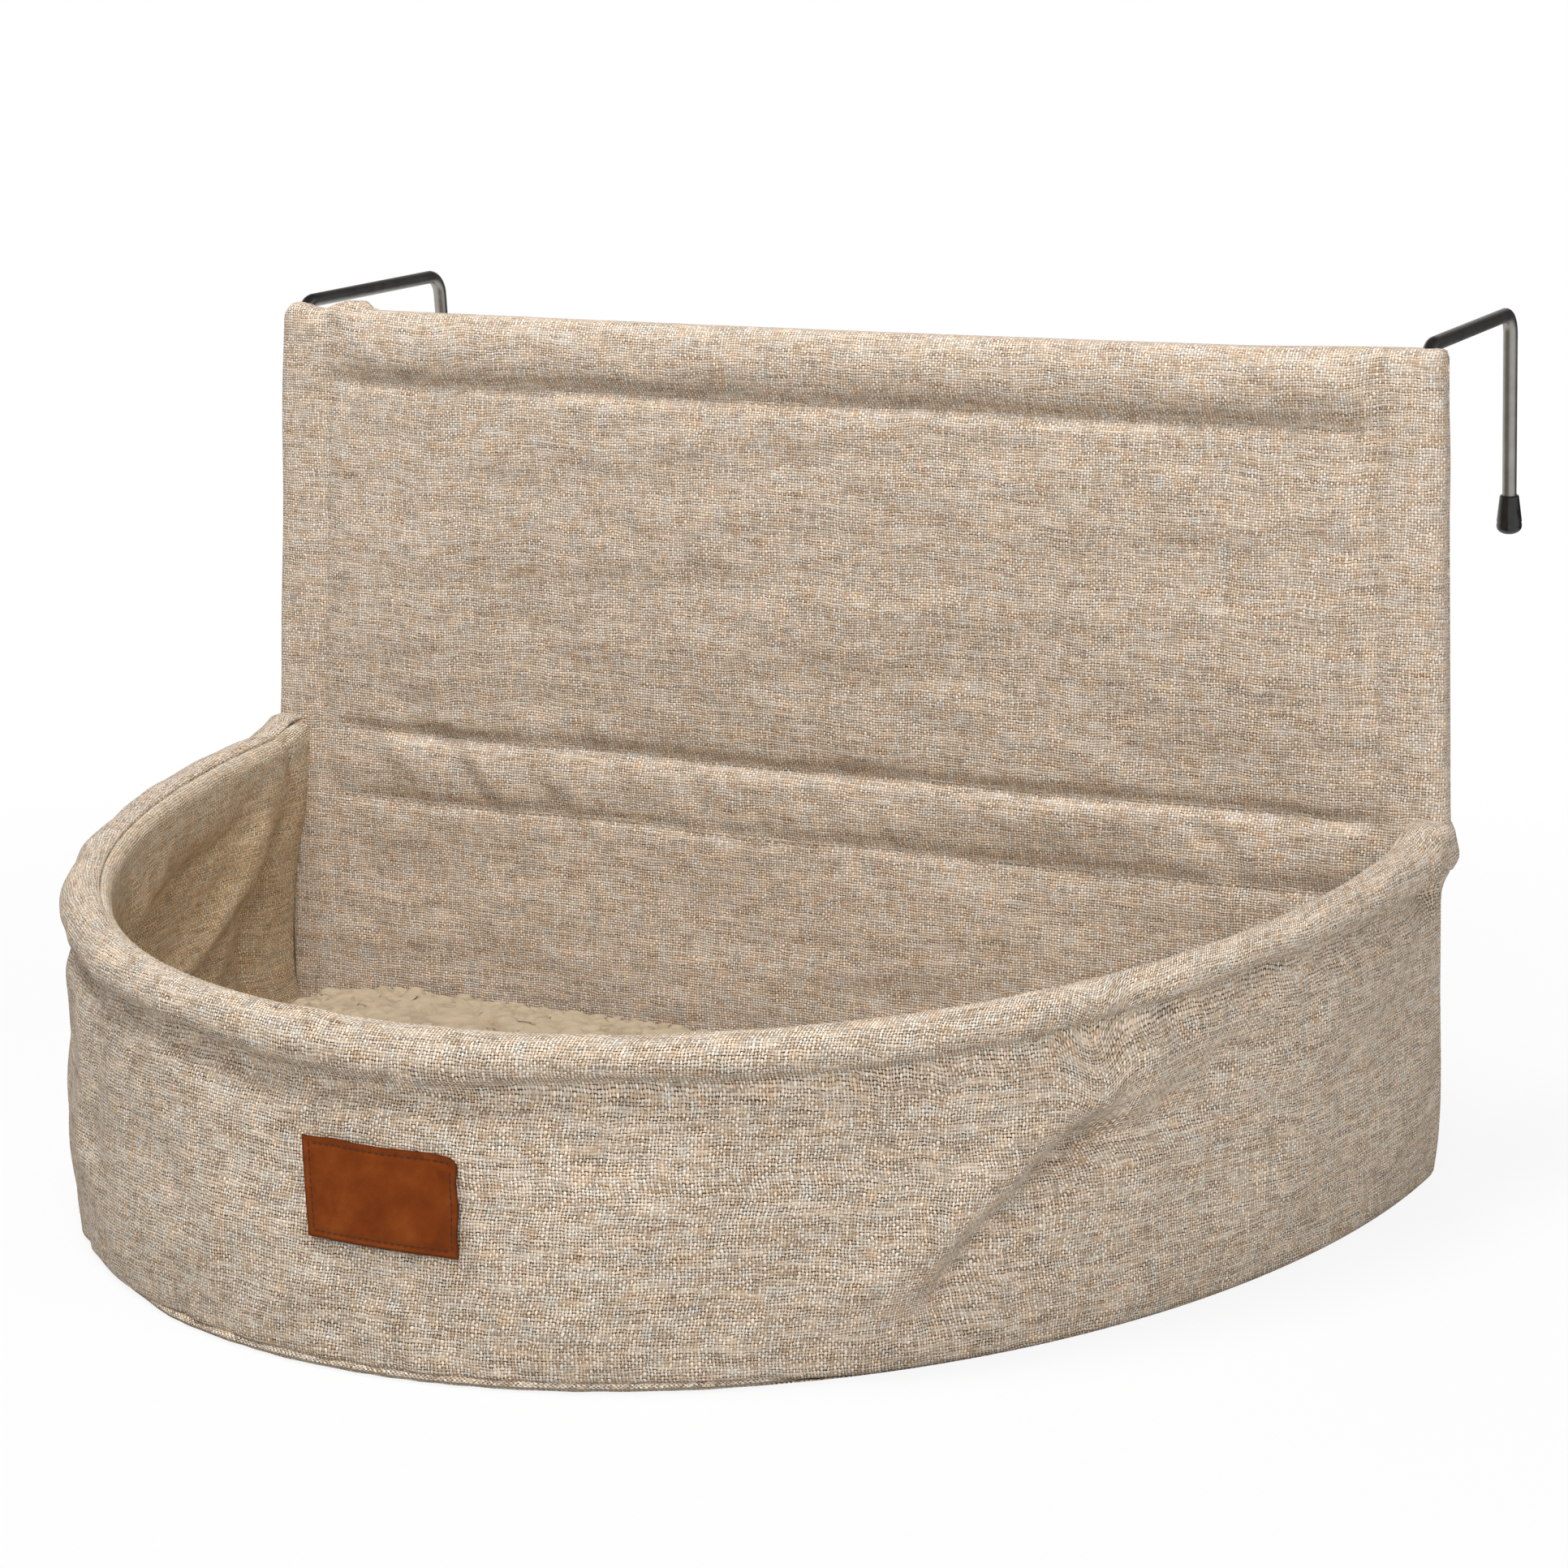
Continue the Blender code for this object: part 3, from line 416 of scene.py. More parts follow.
def wall_sizes(share, inset):
    """Half width, lead, reach and fullness of the wall at a share of its height."""
    bulge = wall_bulge * math.sin(math.pi * share ** bulge_power) - inset
    half_width = mix(base_half_width, rim_half_width + crease_offset, share) + bulge
    lead = mix(0.0, rim_lead, share)
    reach = mix(base_reach, rim_reach + crease_offset, share) + bulge
    fullness = mix(base_fullness, rim_fullness, share)
    return half_width, lead, reach, fullness


def fold_relief(folds, arcs, share, length):
    """How far the listed folds stand proud at arc shares on one level of the wall."""
    u = arcs * length
    v = share * rim_height
    relief = np.zeros_like(u)
    for path, depth, width in folds:
        nearest = np.full_like(u, length)
        for (start_arc, start_share), (stop_arc, stop_share) in zip(path, path[1:]):
            start_u = start_arc * length
            start_v = start_share * rim_height
            run_u = stop_arc * length - start_u
            run_v = stop_share * rim_height - start_v
            along = ((u - start_u) * run_u + (v - start_v) * run_v) / (run_u ** 2 + run_v ** 2)
            along = np.clip(along, 0.0, 1.0)
            distance = np.hypot(u - start_u - run_u * along, v - start_v - run_v * along)
            nearest = np.minimum(nearest, distance)
        relief += ridge(nearest, depth, width)
    edge_fade = math.sqrt(math.sin(math.pi * min(max(share, 0.0), 1.0)))
    end_fade = np.clip(np.minimum(arcs, 1 - arcs) / fold_end_share, 0.0, 1.0)
    return relief * edge_fade * end_fade


def wall_row(share, inset, foot_level, folds, stops_of):
    """One level row of the wall, from its foot at share 0 to the crease under the rim."""
    points, arcs = d_outline(*wall_sizes(share, inset), wall_start, stops_of)
    length = np.sum(np.linalg.norm(np.diff(points, axis=0), axis=1))
    points = points + plan_normals(points) * fold_relief(folds, arcs, share, length)[:, None]
    crease_heights = rim_height_at(points[:, 1]) - crease_drop
    heights = foot_level + (crease_heights - foot_level) * share
    return np.column_stack((points, heights))


def roll_row(angle, radius, stops_of):
    """One row along the rim's roll, at an angle from its outward side."""
    offset = radius * math.cos(angle)
    points, _ = d_outline(rim_half_width + offset, rim_lead, rim_reach + offset, rim_fullness,
                          wall_start, stops_of)
    heights = rim_height_at(points[:, 1]) + radius * math.sin(angle)
    return np.column_stack((points, heights))


def panel_half_width(height):
    """Half width of the backrest: it steps in below the rim and narrows towards the top."""
    crease_level = rim_level - crease_drop
    low = mix(panel_base_half_width, panel_rim_half_width,
              np.clip(1 - (crease_level - height) / panel_step_height, 0.0, 1.0))
    high = mix(panel_rim_half_width, panel_top_half_width,
               np.clip((height - rim_top) / (panel_top - rim_top), 0.0, 1.0))
    return np.where(height < crease_level, low, high)


# Node materials
class Nodes:
    """Adds and links nodes in one node tree."""

    def __init__(self, tree):
        self.tree = tree

    def feed(self, socket, value):
        if isinstance(value, bpy.types.NodeSocket):
            self.tree.links.new(value, socket)
        else:
            socket.default_value = value

    def add(self, kind, **inputs):
        node = self.tree.nodes.new(kind)
        for name, value in inputs.items():
            self.feed(node.inputs[name.replace("_", " ")], value)
        return node

    def calc(self, operation, *values):
        node = self.tree.nodes.new("ShaderNodeMath")
        node.operation = operation
        for socket, value in zip(node.inputs, values):
            self.feed(socket, value)
        return node.outputs[0]

    def vector(self, operation, *values):
        node = self.tree.nodes.new("ShaderNodeVectorMath")
        node.operation = operation
        for socket, value in zip(node.inputs, values):
            self.feed(socket, value)
        return node.outputs["Value" if operation == "LENGTH" else "Vector"]

    def remap(self, value, low, high, start=0.0, stop=1.0):
        """Start below low, stop above high, and a straight run between them."""
        return self.add("ShaderNodeMapRange", Value=value, From_Min=low, From_Max=high,
                        To_Min=start, To_Max=stop).outputs[0]

    def about(self, value, strength, middle):
        """Middle, plus how far the value lies from a half, times the strength."""
        return self.calc("MULTIPLY_ADD", self.calc("SUBTRACT", value, 0.5), strength, middle)

    def joined(self, x, y, z=0.0):
        return self.add("ShaderNodeCombineXYZ", X=x, Y=y, Z=z).outputs[0]

    def split(self, vector):
        return self.add("ShaderNodeSeparateXYZ", Vector=vector).outputs

    def noise(self, vector, scale, detail=2.0, roughness=0.5):
        return self.add("ShaderNodeTexNoise", Vector=vector, Scale=scale, Detail=detail,
                        Roughness=roughness).outputs

    def blend(self, factor, first, second, kind="RGBA", mode="MIX"):
        node = self.tree.nodes.new("ShaderNodeMix")
        node.data_type = kind
        node.blend_type = mode
        chosen = [socket for socket in node.inputs if socket.enabled]
        for socket, value in zip(chosen, (factor, first, second)):
            self.feed(socket, value)
        return next(socket for socket in node.outputs if socket.enabled)

    def tinted(self, colour, tint):
        return self.blend(1.0, colour, tint, mode="MULTIPLY")

    def ramp(self, factor, stops):
        node = self.tree.nodes.new("ShaderNodeValToRGB")
        self.feed(node.inputs[0], factor)
        ramp = node.color_ramp
        while len(ramp.elements) < len(stops):
            ramp.elements.new(1.0)
        for element, (position, colour) in zip(ramp.elements, stops):
            element.position = position
            element.color = (*colour, 1.0)
        return node.outputs[0]

    def bump(self, height, distance, strength=1.0):
        return self.add("ShaderNodeBump", Height=height, Distance=distance,
                        Strength=strength).outputs[0]

    def coordinates(self, kind="Object"):
        return self.tree.nodes.new("ShaderNodeTexCoord").outputs[kind]

    def cloth_uv(self):
        node = self.tree.nodes.new("ShaderNodeUVMap")
        node.uv_map = "cloth_uv"
        return node.outputs[0]

    def rays(self):
        """Whether a ray comes straight from the camera, a mirror or glass, and if from a mirror."""
        path = self.add("ShaderNodeLightPath").outputs
        mirrored = path["Is Glossy Ray"]
        through = self.calc("MAXIMUM", mirrored, path["Is Transmission Ray"])
        return self.calc("MAXIMUM", path["Is Camera Ray"], through), mirrored

    def shown(self, share, lit, seen):
        """The lit shader, covered to a share by the one that is only seen."""
        blend = self.tree.nodes.new("ShaderNodeMixShader")
        for socket, value in zip(blend.inputs, (share, lit, seen)):
            self.feed(socket, value)
        return blend.outputs[0]


class Shading(Nodes):
    """The nodes of one material, around its Principled shader."""

    def __init__(self, name, colour, roughness, metallic=0.0, specular=None, sheen=None):
        self.material = bpy.data.materials.new(name)
        self.material.use_nodes = True
        super().__init__(self.material.node_tree)
        self.shader = self.tree.nodes["Principled BSDF"]
        self.shader.inputs["Base Color"].default_value = (*colour, 1.0)
        self.shader.inputs["Roughness"].default_value = roughness
        self.shader.inputs["Metallic"].default_value = metallic
        if specular is not None:
            self.shader.inputs["Specular IOR Level"].default_value = specular
        if sheen is not None:
            self.shader.inputs["Sheen Weight"].default_value = sheen
            self.shader.inputs["Sheen Roughness"].default_value = 0.5
        self.material.diffuse_color = (*colour, 1.0)

    def finish(self, colour, roughness, normal):
        for name, value in (("Base Color", colour), ("Roughness", roughness), ("Normal", normal)):
            if value is not None:
                self.feed(self.shader.inputs[name], value)
        return self.material


# Detail and roughness of the noise that clouds a surface
cloud_noise = (4.0, 0.6)


def weave(s, uv):
    """Plain weave: its height, its fleck's tone, and what tells one crossing from the next."""
    wander_scale, wander_reach = 60.0, 0.0020
    shiver_scale, shiver_reach = 300.0, 0.0011
    warp_half_width, weft_half_width, fullness_share = 0.32, 0.43, 0.25
    rise = 0.65
    yarn_spread, warp_stretch, weft_stretch = 7.31, 0.17, 0.10
    warp_seed, weft_seed = 3.7, 11.9
    yarn_scale, yarn_detail, yarn_roughness = 1.0, 2.0, 0.55
    thread_edge, sunk = 0.01, -2.0

    # The threads wander a little, and each crossing sits slightly off its place
    threads = uv
    for scale, detail, reach in ((wander_scale, 2.0, wander_reach), (shiver_scale, 1.0, shiver_reach)):
        away = s.vector("SUBTRACT", s.noise(uv, scale, detail)["Color"], (0.5, 0.5, 0.5))
        threads = s.vector("ADD", threads, s.vector("MULTIPLY", away, (reach, reach, 0.0)))
    threads = s.vector("MULTIPLY", threads, (1 / warp_spacing, 1 / weft_spacing, 0.0))
    u, v, _ = s.split(threads)
    column = s.calc("FLOOR", u)
    row = s.calc("FLOOR", v)
    parity = s.calc("FLOORED_MODULO", s.calc("ADD", column, row), 2.0)
    warp_over = s.calc("LESS_THAN", parity, 0.5)
    side = s.calc("MULTIPLY_ADD", warp_over, 2.0, -1.0)
    chance = s.add("ShaderNodeTexWhiteNoise", Vector=s.joined(column, row, 1.0)).outputs["Color"]

    def yarn(along, across, seed, stretch):
        """Tone of one yarn, which changes slowly along it and at once from yarn to yarn."""
        place = s.joined(s.calc("MULTIPLY", across, yarn_spread),
                         s.calc("MULTIPLY", along, stretch), seed)
        return s.noise(place, yarn_scale, yarn_detail, yarn_roughness)[0]

    def roundness(position, half_width, tone):
        """Height across a thread: half an ellipse, wider where the yarn's tone is lighter."""
        offset = s.calc("ABSOLUTE", s.calc("SUBTRACT", s.calc("FRACT", position), 0.5))
        narrowest = half_width - fullness_share / 2
        offset = s.calc("DIVIDE", offset, s.calc("MULTIPLY_ADD", tone, fullness_share, narrowest))
        square = s.calc("MULTIPLY", offset, offset)
        return s.calc("SQRT", s.calc("MAXIMUM", s.calc("SUBTRACT", 1.0, square), 0.0))

    def level(round_height, position, lift):
        """Height of a thread, which rises over one crossing and dives under the next."""
        beside = s.calc("LESS_THAN", round_height, thread_edge)
        hump = s.calc("SINE", s.calc("MULTIPLY", s.calc("FRACT", position), math.pi))
        rising = s.calc("MULTIPLY_ADD", hump, lift, round_height)
        return s.calc("MULTIPLY_ADD", beside, sunk, rising)

    weft_tone = yarn(u, row, weft_seed, weft_stretch)
    warp_tone = yarn(v, column, warp_seed, warp_stretch)
    warp = level(roundness(u, warp_half_width, warp_tone), v, s.calc("MULTIPLY", side, rise))
    weft = level(roundness(v, weft_half_width, weft_tone), u, s.calc("MULTIPLY", side, -rise))
    warp_shows = s.calc("GREATER_THAN", warp, weft)
    fleck = s.blend(warp_shows, weft_tone, warp_tone, kind="FLOAT")
    return s.calc("MAXIMUM", warp, weft), fleck, warp_shows, warp_over, v, s.split(chance)


def linen_material(name, tint, openness=1.0, contrast=1.0, painted_shade_tint=None):
    """Plain weave of flecked yarn in cream, tan and grey, from cloth coordinates in metres, with painted
    shade in the gaps between threads, and a painted shade tint further down the cloth when one is given.
    """
    fleck_contrast, cell_contrast = 0.62, 0.12
    tones = (
        (0.33, (0.42, 0.335, 0.255)),
        (0.42, (0.62, 0.485, 0.355)),
        (0.50, (0.80, 0.665, 0.52)),
        (0.56, (0.92, 0.805, 0.67)),
        (0.61, (0.92, 0.82, 0.70)),
        (0.66, (0.82, 0.65, 0.475)),
        (0.74, (0.66, 0.45, 0.29)),
    )
    gap_shade_colour = (0.060, 0.036, 0.020, 1.0)
    line_stretch, patch_stretch = (48.0, 520.0, 0.0), (40.0, 150.0, 0.0)
    line_noise, patch_noise, hue_noise = (1.0, 2.0, 0.6), (1.0, 3.0, 0.6), (170.0, 2.0, 0.6)
    weft_darkness = 0.24
    gap_depth, line_depth, patch_depth, cell_depth = 0.95, -3.0, -0.3, 1.0
    shallow, deepest = 0.1, 1.6
    gap_shade_band, shadow_dash_band, strength_band = (0.12, 1.20), (0.0, 0.45), (0.25, 0.87)
    cloud_spread, warmth_spread = 0.10, 0.35
    bump_depth, bump_strength = 0.00020, 0.9
    roughness, roughness_spread = 0.85, 0.10
    s = Shading(name, *plain_looks["linen"], specular=0.08, sheen=0.02)
    uv = s.cloth_uv()
    height, fleck, warp_shows, warp_over, v, (cell, other_cell, _) = weave(s, uv)

    # Slubs and shade lines run across the cloth, and its colour clouds softly
    line = s.noise(s.vector("MULTIPLY", uv, line_stretch), *line_noise)[0]
    patch = s.noise(s.vector("MULTIPLY", uv, patch_stretch), *patch_noise)[0]
    hue = s.noise(uv, *hue_noise)[0]
    tone = s.about(fleck, fleck_contrast * contrast, 0.5)
    colour = s.ramp(s.about(cell, cell_contrast * contrast, tone), tones)
    weft_shade = s.calc("MULTIPLY_ADD", warp_shows, weft_darkness, 1 - weft_darkness)
    colour = s.tinted(colour, s.joined(weft_shade, weft_shade, weft_shade))

    # Painted shade: the gaps between threads are darkened as if in shadow, and a painted shadow dash lies
    # along the lower edge of each crossing where the weft shows; the shade is deeper in some lines and
    # patches than in others
    deep = s.about(line, line_depth, gap_depth)
    deep = s.about(patch, patch_depth, deep)
    deep = s.about(cell, cell_depth, deep)
    deep = s.calc("MINIMUM", s.calc("MAXIMUM", deep, shallow), deepest)
    deep = s.calc("MULTIPLY", deep, openness)
    gap = s.remap(height, *gap_shade_band, 1.0, 0.0)
    shadow_dash = s.remap(s.calc("FRACT", v), *shadow_dash_band, 1.0, 0.0)
    shadow_dash = s.calc("MULTIPLY", shadow_dash, s.calc("SUBTRACT", 1.0, warp_over))
    gap = s.calc("MULTIPLY_ADD", shadow_dash, s.remap(other_cell, *strength_band), gap)
    gap = s.calc("MINIMUM", s.calc("MULTIPLY", gap, deep), 1.0)
    colour = s.blend(gap, colour, gap_shade_colour)

    # One tint for the whole cloth, warmer in some clouds and cooler in others
    red, green, blue = tint
    shade = s.calc("MULTIPLY_ADD", patch, cloud_spread, 1 - cloud_spread / 2)
    warmth = s.about(hue, warmth_spread, 1.0)
    coolness = s.calc("SUBTRACT", 2.0, warmth)
    shaded = s.joined(s.calc("MULTIPLY", s.calc("MULTIPLY", shade, warmth), red),
                      s.calc("MULTIPLY", shade, green),
                      s.calc("MULTIPLY", s.calc("MULTIPLY", shade, coolness), blue))
    colour = s.tinted(colour, shaded)
    # Painted shade: darker and warmer further down the cloth, starting 9 mm below its top edge and at full
    # strength from 30 mm
    if painted_shade_tint is not None:
        foot_level, roll_level = -0.030, -0.009
        below = s.remap(s.split(uv)[1], foot_level, roll_level, 1.0, 0.0)
        colour = s.tinted(colour, s.blend(below, (*white, 1.0), (*painted_shade_tint, 1.0)))
    relief = s.bump(s.calc("MAXIMUM", height, 0.0), bump_depth, bump_strength)
    return s.finish(colour, s.calc("MULTIPLY_ADD", cell, roughness_spread, roughness), relief)


def thread_material(name, colour):
    """Twisted sewing thread."""
    twist_scale, fibre_scale = 900.0, 2600.0
    dark_share, roughness = 0.6, 0.6
    bump_depth, bump_strength = 0.0001, 0.6
    s = Shading(name, colour, roughness)
    place = s.coordinates()
    dark = tuple(part * dark_share for part in colour) + (1.0,)
    return s.finish(s.blend(s.noise(place, twist_scale)[0], dark, (*colour, 1.0)), None,
                    s.bump(s.noise(place, fibre_scale)[0], bump_depth, bump_strength))


def leather_material():
    """Brown leather with a fine grain, clouded a little and darker at its cut edge."""
    grain_scale, pore_scale, cloud_scale = 1500.0, 3800.0, 120.0
    edge_width, edge_strength = 0.0009, 0.75
    tones = ((0.30, (0.120, 0.024, 0.0035)), (0.50, (0.160, 0.035, 0.0052)),
             (0.70, (0.205, 0.051, 0.0088)))
    grain_colour, edge_colour = (0.13, 0.030, 0.008, 1.0), (0.030, 0.010, 0.004, 1.0)
    grain_share, grain_height, pore_height = 0.25, 0.7, 0.5
    roughness, roughness_spread = 0.52, 0.22
    bump_depth, bump_strength = 0.00010, 0.8
    s = Shading("leather", *plain_looks["leather"], specular=0.09)
    place = s.coordinates()
    grain = s.add("ShaderNodeTexVoronoi", Vector=place, Scale=grain_scale).outputs["Distance"]
    pores = s.noise(place, pore_scale, 3.0)[0]
    cloud = s.noise(place, cloud_scale, *cloud_noise)[0]
    colour = s.blend(s.calc("MULTIPLY", grain, grain_share), s.ramp(cloud, tones), grain_colour)
    across, up, _ = s.split(s.cloth_uv())
    from_sides = s.calc("MINIMUM", across, s.calc("SUBTRACT", label_width, across))
    from_ends = s.calc("MINIMUM", up, s.calc("SUBTRACT", label_height, up))
    # The cut edge is darkened all round, fading out within 0.9 mm of it.
    edge_darkening = s.remap(s.calc("MINIMUM", from_sides, from_ends), 0.0, edge_width, edge_strength, 0.0)
    relief = s.calc("ADD", s.calc("MULTIPLY", grain, grain_height),
                    s.calc("MULTIPLY", pores, pore_height))
    return s.finish(s.blend(edge_darkening, colour, edge_colour),
                    s.calc("MULTIPLY_ADD", cloud, roughness_spread, roughness),
                    s.bump(relief, bump_depth, bump_strength))


def plush_material():
    """Cream curled plush: soft fibres, with painted shade between the curls that makes them darker and
    warmer there.
    """
    fibre_noise, cloud_scale = (1400.0, 4.0, 0.7), 60.0
    # The tones are darker than the plush's own cream: partly its colour, partly painted shade.
    tones = ((0.15, (0.098, 0.065, 0.036)), (0.42, (0.275, 0.208, 0.130)),
             (0.75, (0.43, 0.343, 0.232)))
    fibre_share, curl_share = 0.5, 0.55
    cloud_spread = 0.16
    bump_depth, bump_strength = 0.0006, 0.9
    s = Shading("plush", *plain_looks["plush"], specular=0.1, sheen=0.12)
    place = s.coordinates()
    node = s.add("ShaderNodeAttribute")
    node.attribute_name = "curl"
    depth = node.outputs["Fac"]
    fibre = s.noise(place, *fibre_noise)[0]
    cloud = s.noise(place, cloud_scale)[0]
    # Painted shade: places low between the curls take the darker tones.
    tone = s.calc("MULTIPLY_ADD", fibre, fibre_share, s.calc("MULTIPLY", depth, curl_share))
    shade = s.calc("MULTIPLY_ADD", cloud, cloud_spread, 1 - cloud_spread / 2)
    colour = s.tinted(s.ramp(tone, tones), s.joined(shade, shade, shade))
    return s.finish(colour, None, s.bump(fibre, bump_depth, bump_strength))


def wire_material():
    """Zinc-plated drawn wire with faint drawing lines and a dull bloom."""
    bloom_scale, line_scale, line_stretch = 160.0, 2400.0, (1.0, 0.05, 0.05)
    tones = ((0.3, (0.31, 0.30, 0.275)), (0.7, (0.41, 0.40, 0.375)))
    roughness, roughness_spread = 0.32, 0.16
    bump_depth, bump_strength = 0.00005, 0.4
    s = Shading("zinc", *plain_looks["zinc"], metallic=1.0)
    place = s.coordinates()
    bloom = s.noise(place, bloom_scale, *cloud_noise)[0]
    lines = s.noise(s.vector("MULTIPLY", place, line_stretch), line_scale)[0]
    return s.finish(s.ramp(bloom, tones), s.calc("MULTIPLY_ADD", bloom, roughness_spread, roughness),
                    s.bump(lines, bump_depth, bump_strength))


def rubber_material():
    """Smooth black rubber with a soft gloss and light dust."""
    dust_scale, grain_scale = 400.0, 1800.0
    tones = ((0.35, (0.006, 0.006, 0.006)), (0.75, (0.016, 0.0155, 0.015)))
    roughness, roughness_spread = 0.12, 0.20
    bump_depth, bump_strength = 0.00004, 0.5
    s = Shading("rubber", *plain_looks["rubber"])
    place = s.coordinates()
    dust = s.noise(place, dust_scale, *cloud_noise)[0]
    return s.finish(s.ramp(dust, tones), s.calc("MULTIPLY_ADD", dust, roughness_spread, roughness),
                    s.bump(s.noise(place, grain_scale)[0], bump_depth, bump_strength))


def board_material():
    """Pressed brown board."""
    fibre_scale, fibre_detail, fibre_stretch = 500.0, 4.0, (1.0, 3.0, 3.0)
    tones = ((0.3, (0.24, 0.16, 0.10)), (0.7, (0.45, 0.33, 0.22)))
    bump_depth = 0.0002
    s = Shading("hardboard", *plain_looks["hardboard"])
    stretched = s.vector("MULTIPLY", s.coordinates(), fibre_stretch)
    fibre = s.noise(stretched, fibre_scale, fibre_detail)[0]
    return s.finish(s.ramp(fibre, tones), None, s.bump(fibre, bump_depth))


def cotton_material():
    """Plain cream cotton under the cushion."""
    thread_turns, cloud_scale, cloud_detail = (2000.0, 2000.0, 1.0), 90.0, 3.0
    tones = ((0.3, (0.54, 0.49, 0.41)), (0.7, (0.68, 0.63, 0.55)))
    bump_depth, bump_strength = 0.0001, 0.6
    s = Shading("plain_cloth", *plain_looks["plain_cloth"])
    place = s.coordinates()
    x, y, _ = s.split(s.vector("MULTIPLY", place, thread_turns))
    threads = s.calc("MULTIPLY", s.calc("SINE", x), s.calc("SINE", y))
    cloud = s.noise(place, cloud_scale, cloud_detail)[0]
    return s.finish(s.ramp(cloud, tones), None, s.bump(threads, bump_depth, bump_strength))


# Stitching
def resampled(path, spacing):
    """The rows of a path at even distances along its first three columns."""
    steps = np.linalg.norm(np.diff(path[:, :3], axis=0), axis=1)
    travelled = np.concatenate(([0.0], np.cumsum(steps)))
    stops = np.arange(0.0, travelled[-1], spacing)
    return np.column_stack([np.interp(stops, travelled, column) for column in path.T])


def make_stitches(name, path, normals, material, length=stitch_length, gap=stitch_gap,
                  radius=stitch_radius):
    """A row of sewn stitches: short rounded lengths of thread that dip into the cloth."""
    rings, sides = 5, 6
    end_size = 0.55
    dip = 0.55
    spacing = length / (rings - 1)
    fine = resampled(np.concatenate((path, normals), axis=1), spacing)
    period = int(round((length + gap) / spacing))
    places = []
    faces = []
    for first in range(0, len(fine) - rings, period):
        piece = fine[first:first + rings]
        forward = piece[-1, :3] - piece[0, :3]
        forward /= np.linalg.norm(forward)
        start = len(places)
        for step, row in enumerate(piece):
            up = row[3:] / np.linalg.norm(row[3:])
            side = np.cross(forward, up)
            bow = math.sin(math.pi * step / (rings - 1))
            size = radius * mix(end_size, 1.0, bow)
            middle = row[:3] + up * radius * dip * (2 * bow - 1)
            for corner in range(sides):
                turn = 2 * math.pi * corner / sides
                places.append(tuple(middle + (side * math.cos(turn) + up * math.sin(turn)) * size))
        for step in range(rings - 1):
            for corner in range(sides):
                a = start + step * sides + corner
                b = start + step * sides + (corner + 1) % sides
                faces.append((a, b, b + sides, a + sides))
        last = start + (rings - 1) * sides
        faces.append(tuple(reversed(range(start, start + sides))))
        faces.append(tuple(range(last, last + sides)))
    return mesh_object(name, places, faces, material, "bed")


# Backrest
def panel_relief(across, height):
    """How far the backrest's front cloth stands proud of its plane."""
    channel_crowns = (0.0014, 0.0026)
    field_crown, field_turn = 0.0012, 1.3
    seam_depth, seam_width, seam_strength = 0.0022, 0.0030, 0.75
    seam_start = (0.016, 0.036)
    seam_shares = (0.45, 0.9, 1.0)
    sleeve_crown, sleeve_seam_depth, sleeve_seam_width = 0.0008, 0.0012, 0.0026
    share_below_rim = 0.2
    below_rim, above_rim = 0.020, 0.005
    panel_stretch = (0.45, 1.0)
    wrinkle_x, wrinkle_z = -0.1505, -0.1616
    wrinkle_sine, wrinkle_cosine = 0.787, 0.617
    wrinkle_depth, wrinkle_width = 0.0008, 0.0030
    wrinkle_middle, wrinkle_length = 0.011, 0.013
    pucker_reach = 0.022
    slant_across, slant_up, slant_height = 1.1, 0.9, 0.3

    half_width = panel_half_width(height)
    inset = half_width - np.abs(across)
    inside = np.clip(inset / sleeve_width - 0.5, 0.0, 1.0)
    relief = np.zeros_like(across)
    for (low, high), crown in zip(channels, channel_crowns):
        share = np.clip((height - low) / (high - low), 0.0, 1.0)
        relief += crown * np.sin(math.pi * share) * inside
    for low, high in ((base_level, channels[0][0]), (channels[0][1], channels[1][0])):
        share = np.clip((height - low) / (high - low), 0.0, 1.0)
        crown = np.sqrt(np.sin(math.pi * share)) * np.cos(field_turn * across / half_width)
        relief += field_crown * crown * inside

    place = np.stack((across, height), axis=-1)
    strength = seam_strength + ripple(place, seam_strength_ripple)
    sewn = smooth_step(inset, *seam_start)
    for level, share in zip((*channels[0], channels[1][0]), seam_shares):
        wavy = level + ripple(place * (1.0, 0.0), seam_ripple)
        relief -= share * ridge(height - wavy, seam_depth, seam_width) * sewn * strength
    sleeve = np.clip(inset / sleeve_width, 0.0, 1.0)
    above = mix(share_below_rim, 1.0, smooth_step(height, rim_top - below_rim, rim_top + above_rim))
    relief += sleeve_crown * np.sin(math.pi * sleeve) * above
    relief -= ridge(inset - sleeve_width, sleeve_seam_depth, sleeve_seam_width) * above

    relief += ripple(place * panel_stretch, panel_ripple) * inside
    relief += ripple(place * panel_stretch, panel_pucker) * inside
    beside = np.abs((across - wrinkle_x) * wrinkle_sine + (height - wrinkle_z) * wrinkle_cosine)
    along = (across - wrinkle_x) * wrinkle_cosine - (height - wrinkle_z) * wrinkle_sine
    wrinkle = ridge(beside, wrinkle_depth, wrinkle_width)
    relief -= wrinkle * ridge(along - wrinkle_middle, 1.0, wrinkle_length)
    near_channel = ridge(height - (rim_top - channel_height / 2), 1.0, pucker_reach)
    slant = across * slant_across + height * slant_up
    slanted = np.stack((slant, height * slant_height), axis=-1)
    relief += ripple(slanted, channel_pucker) * near_channel * inside
    return relief


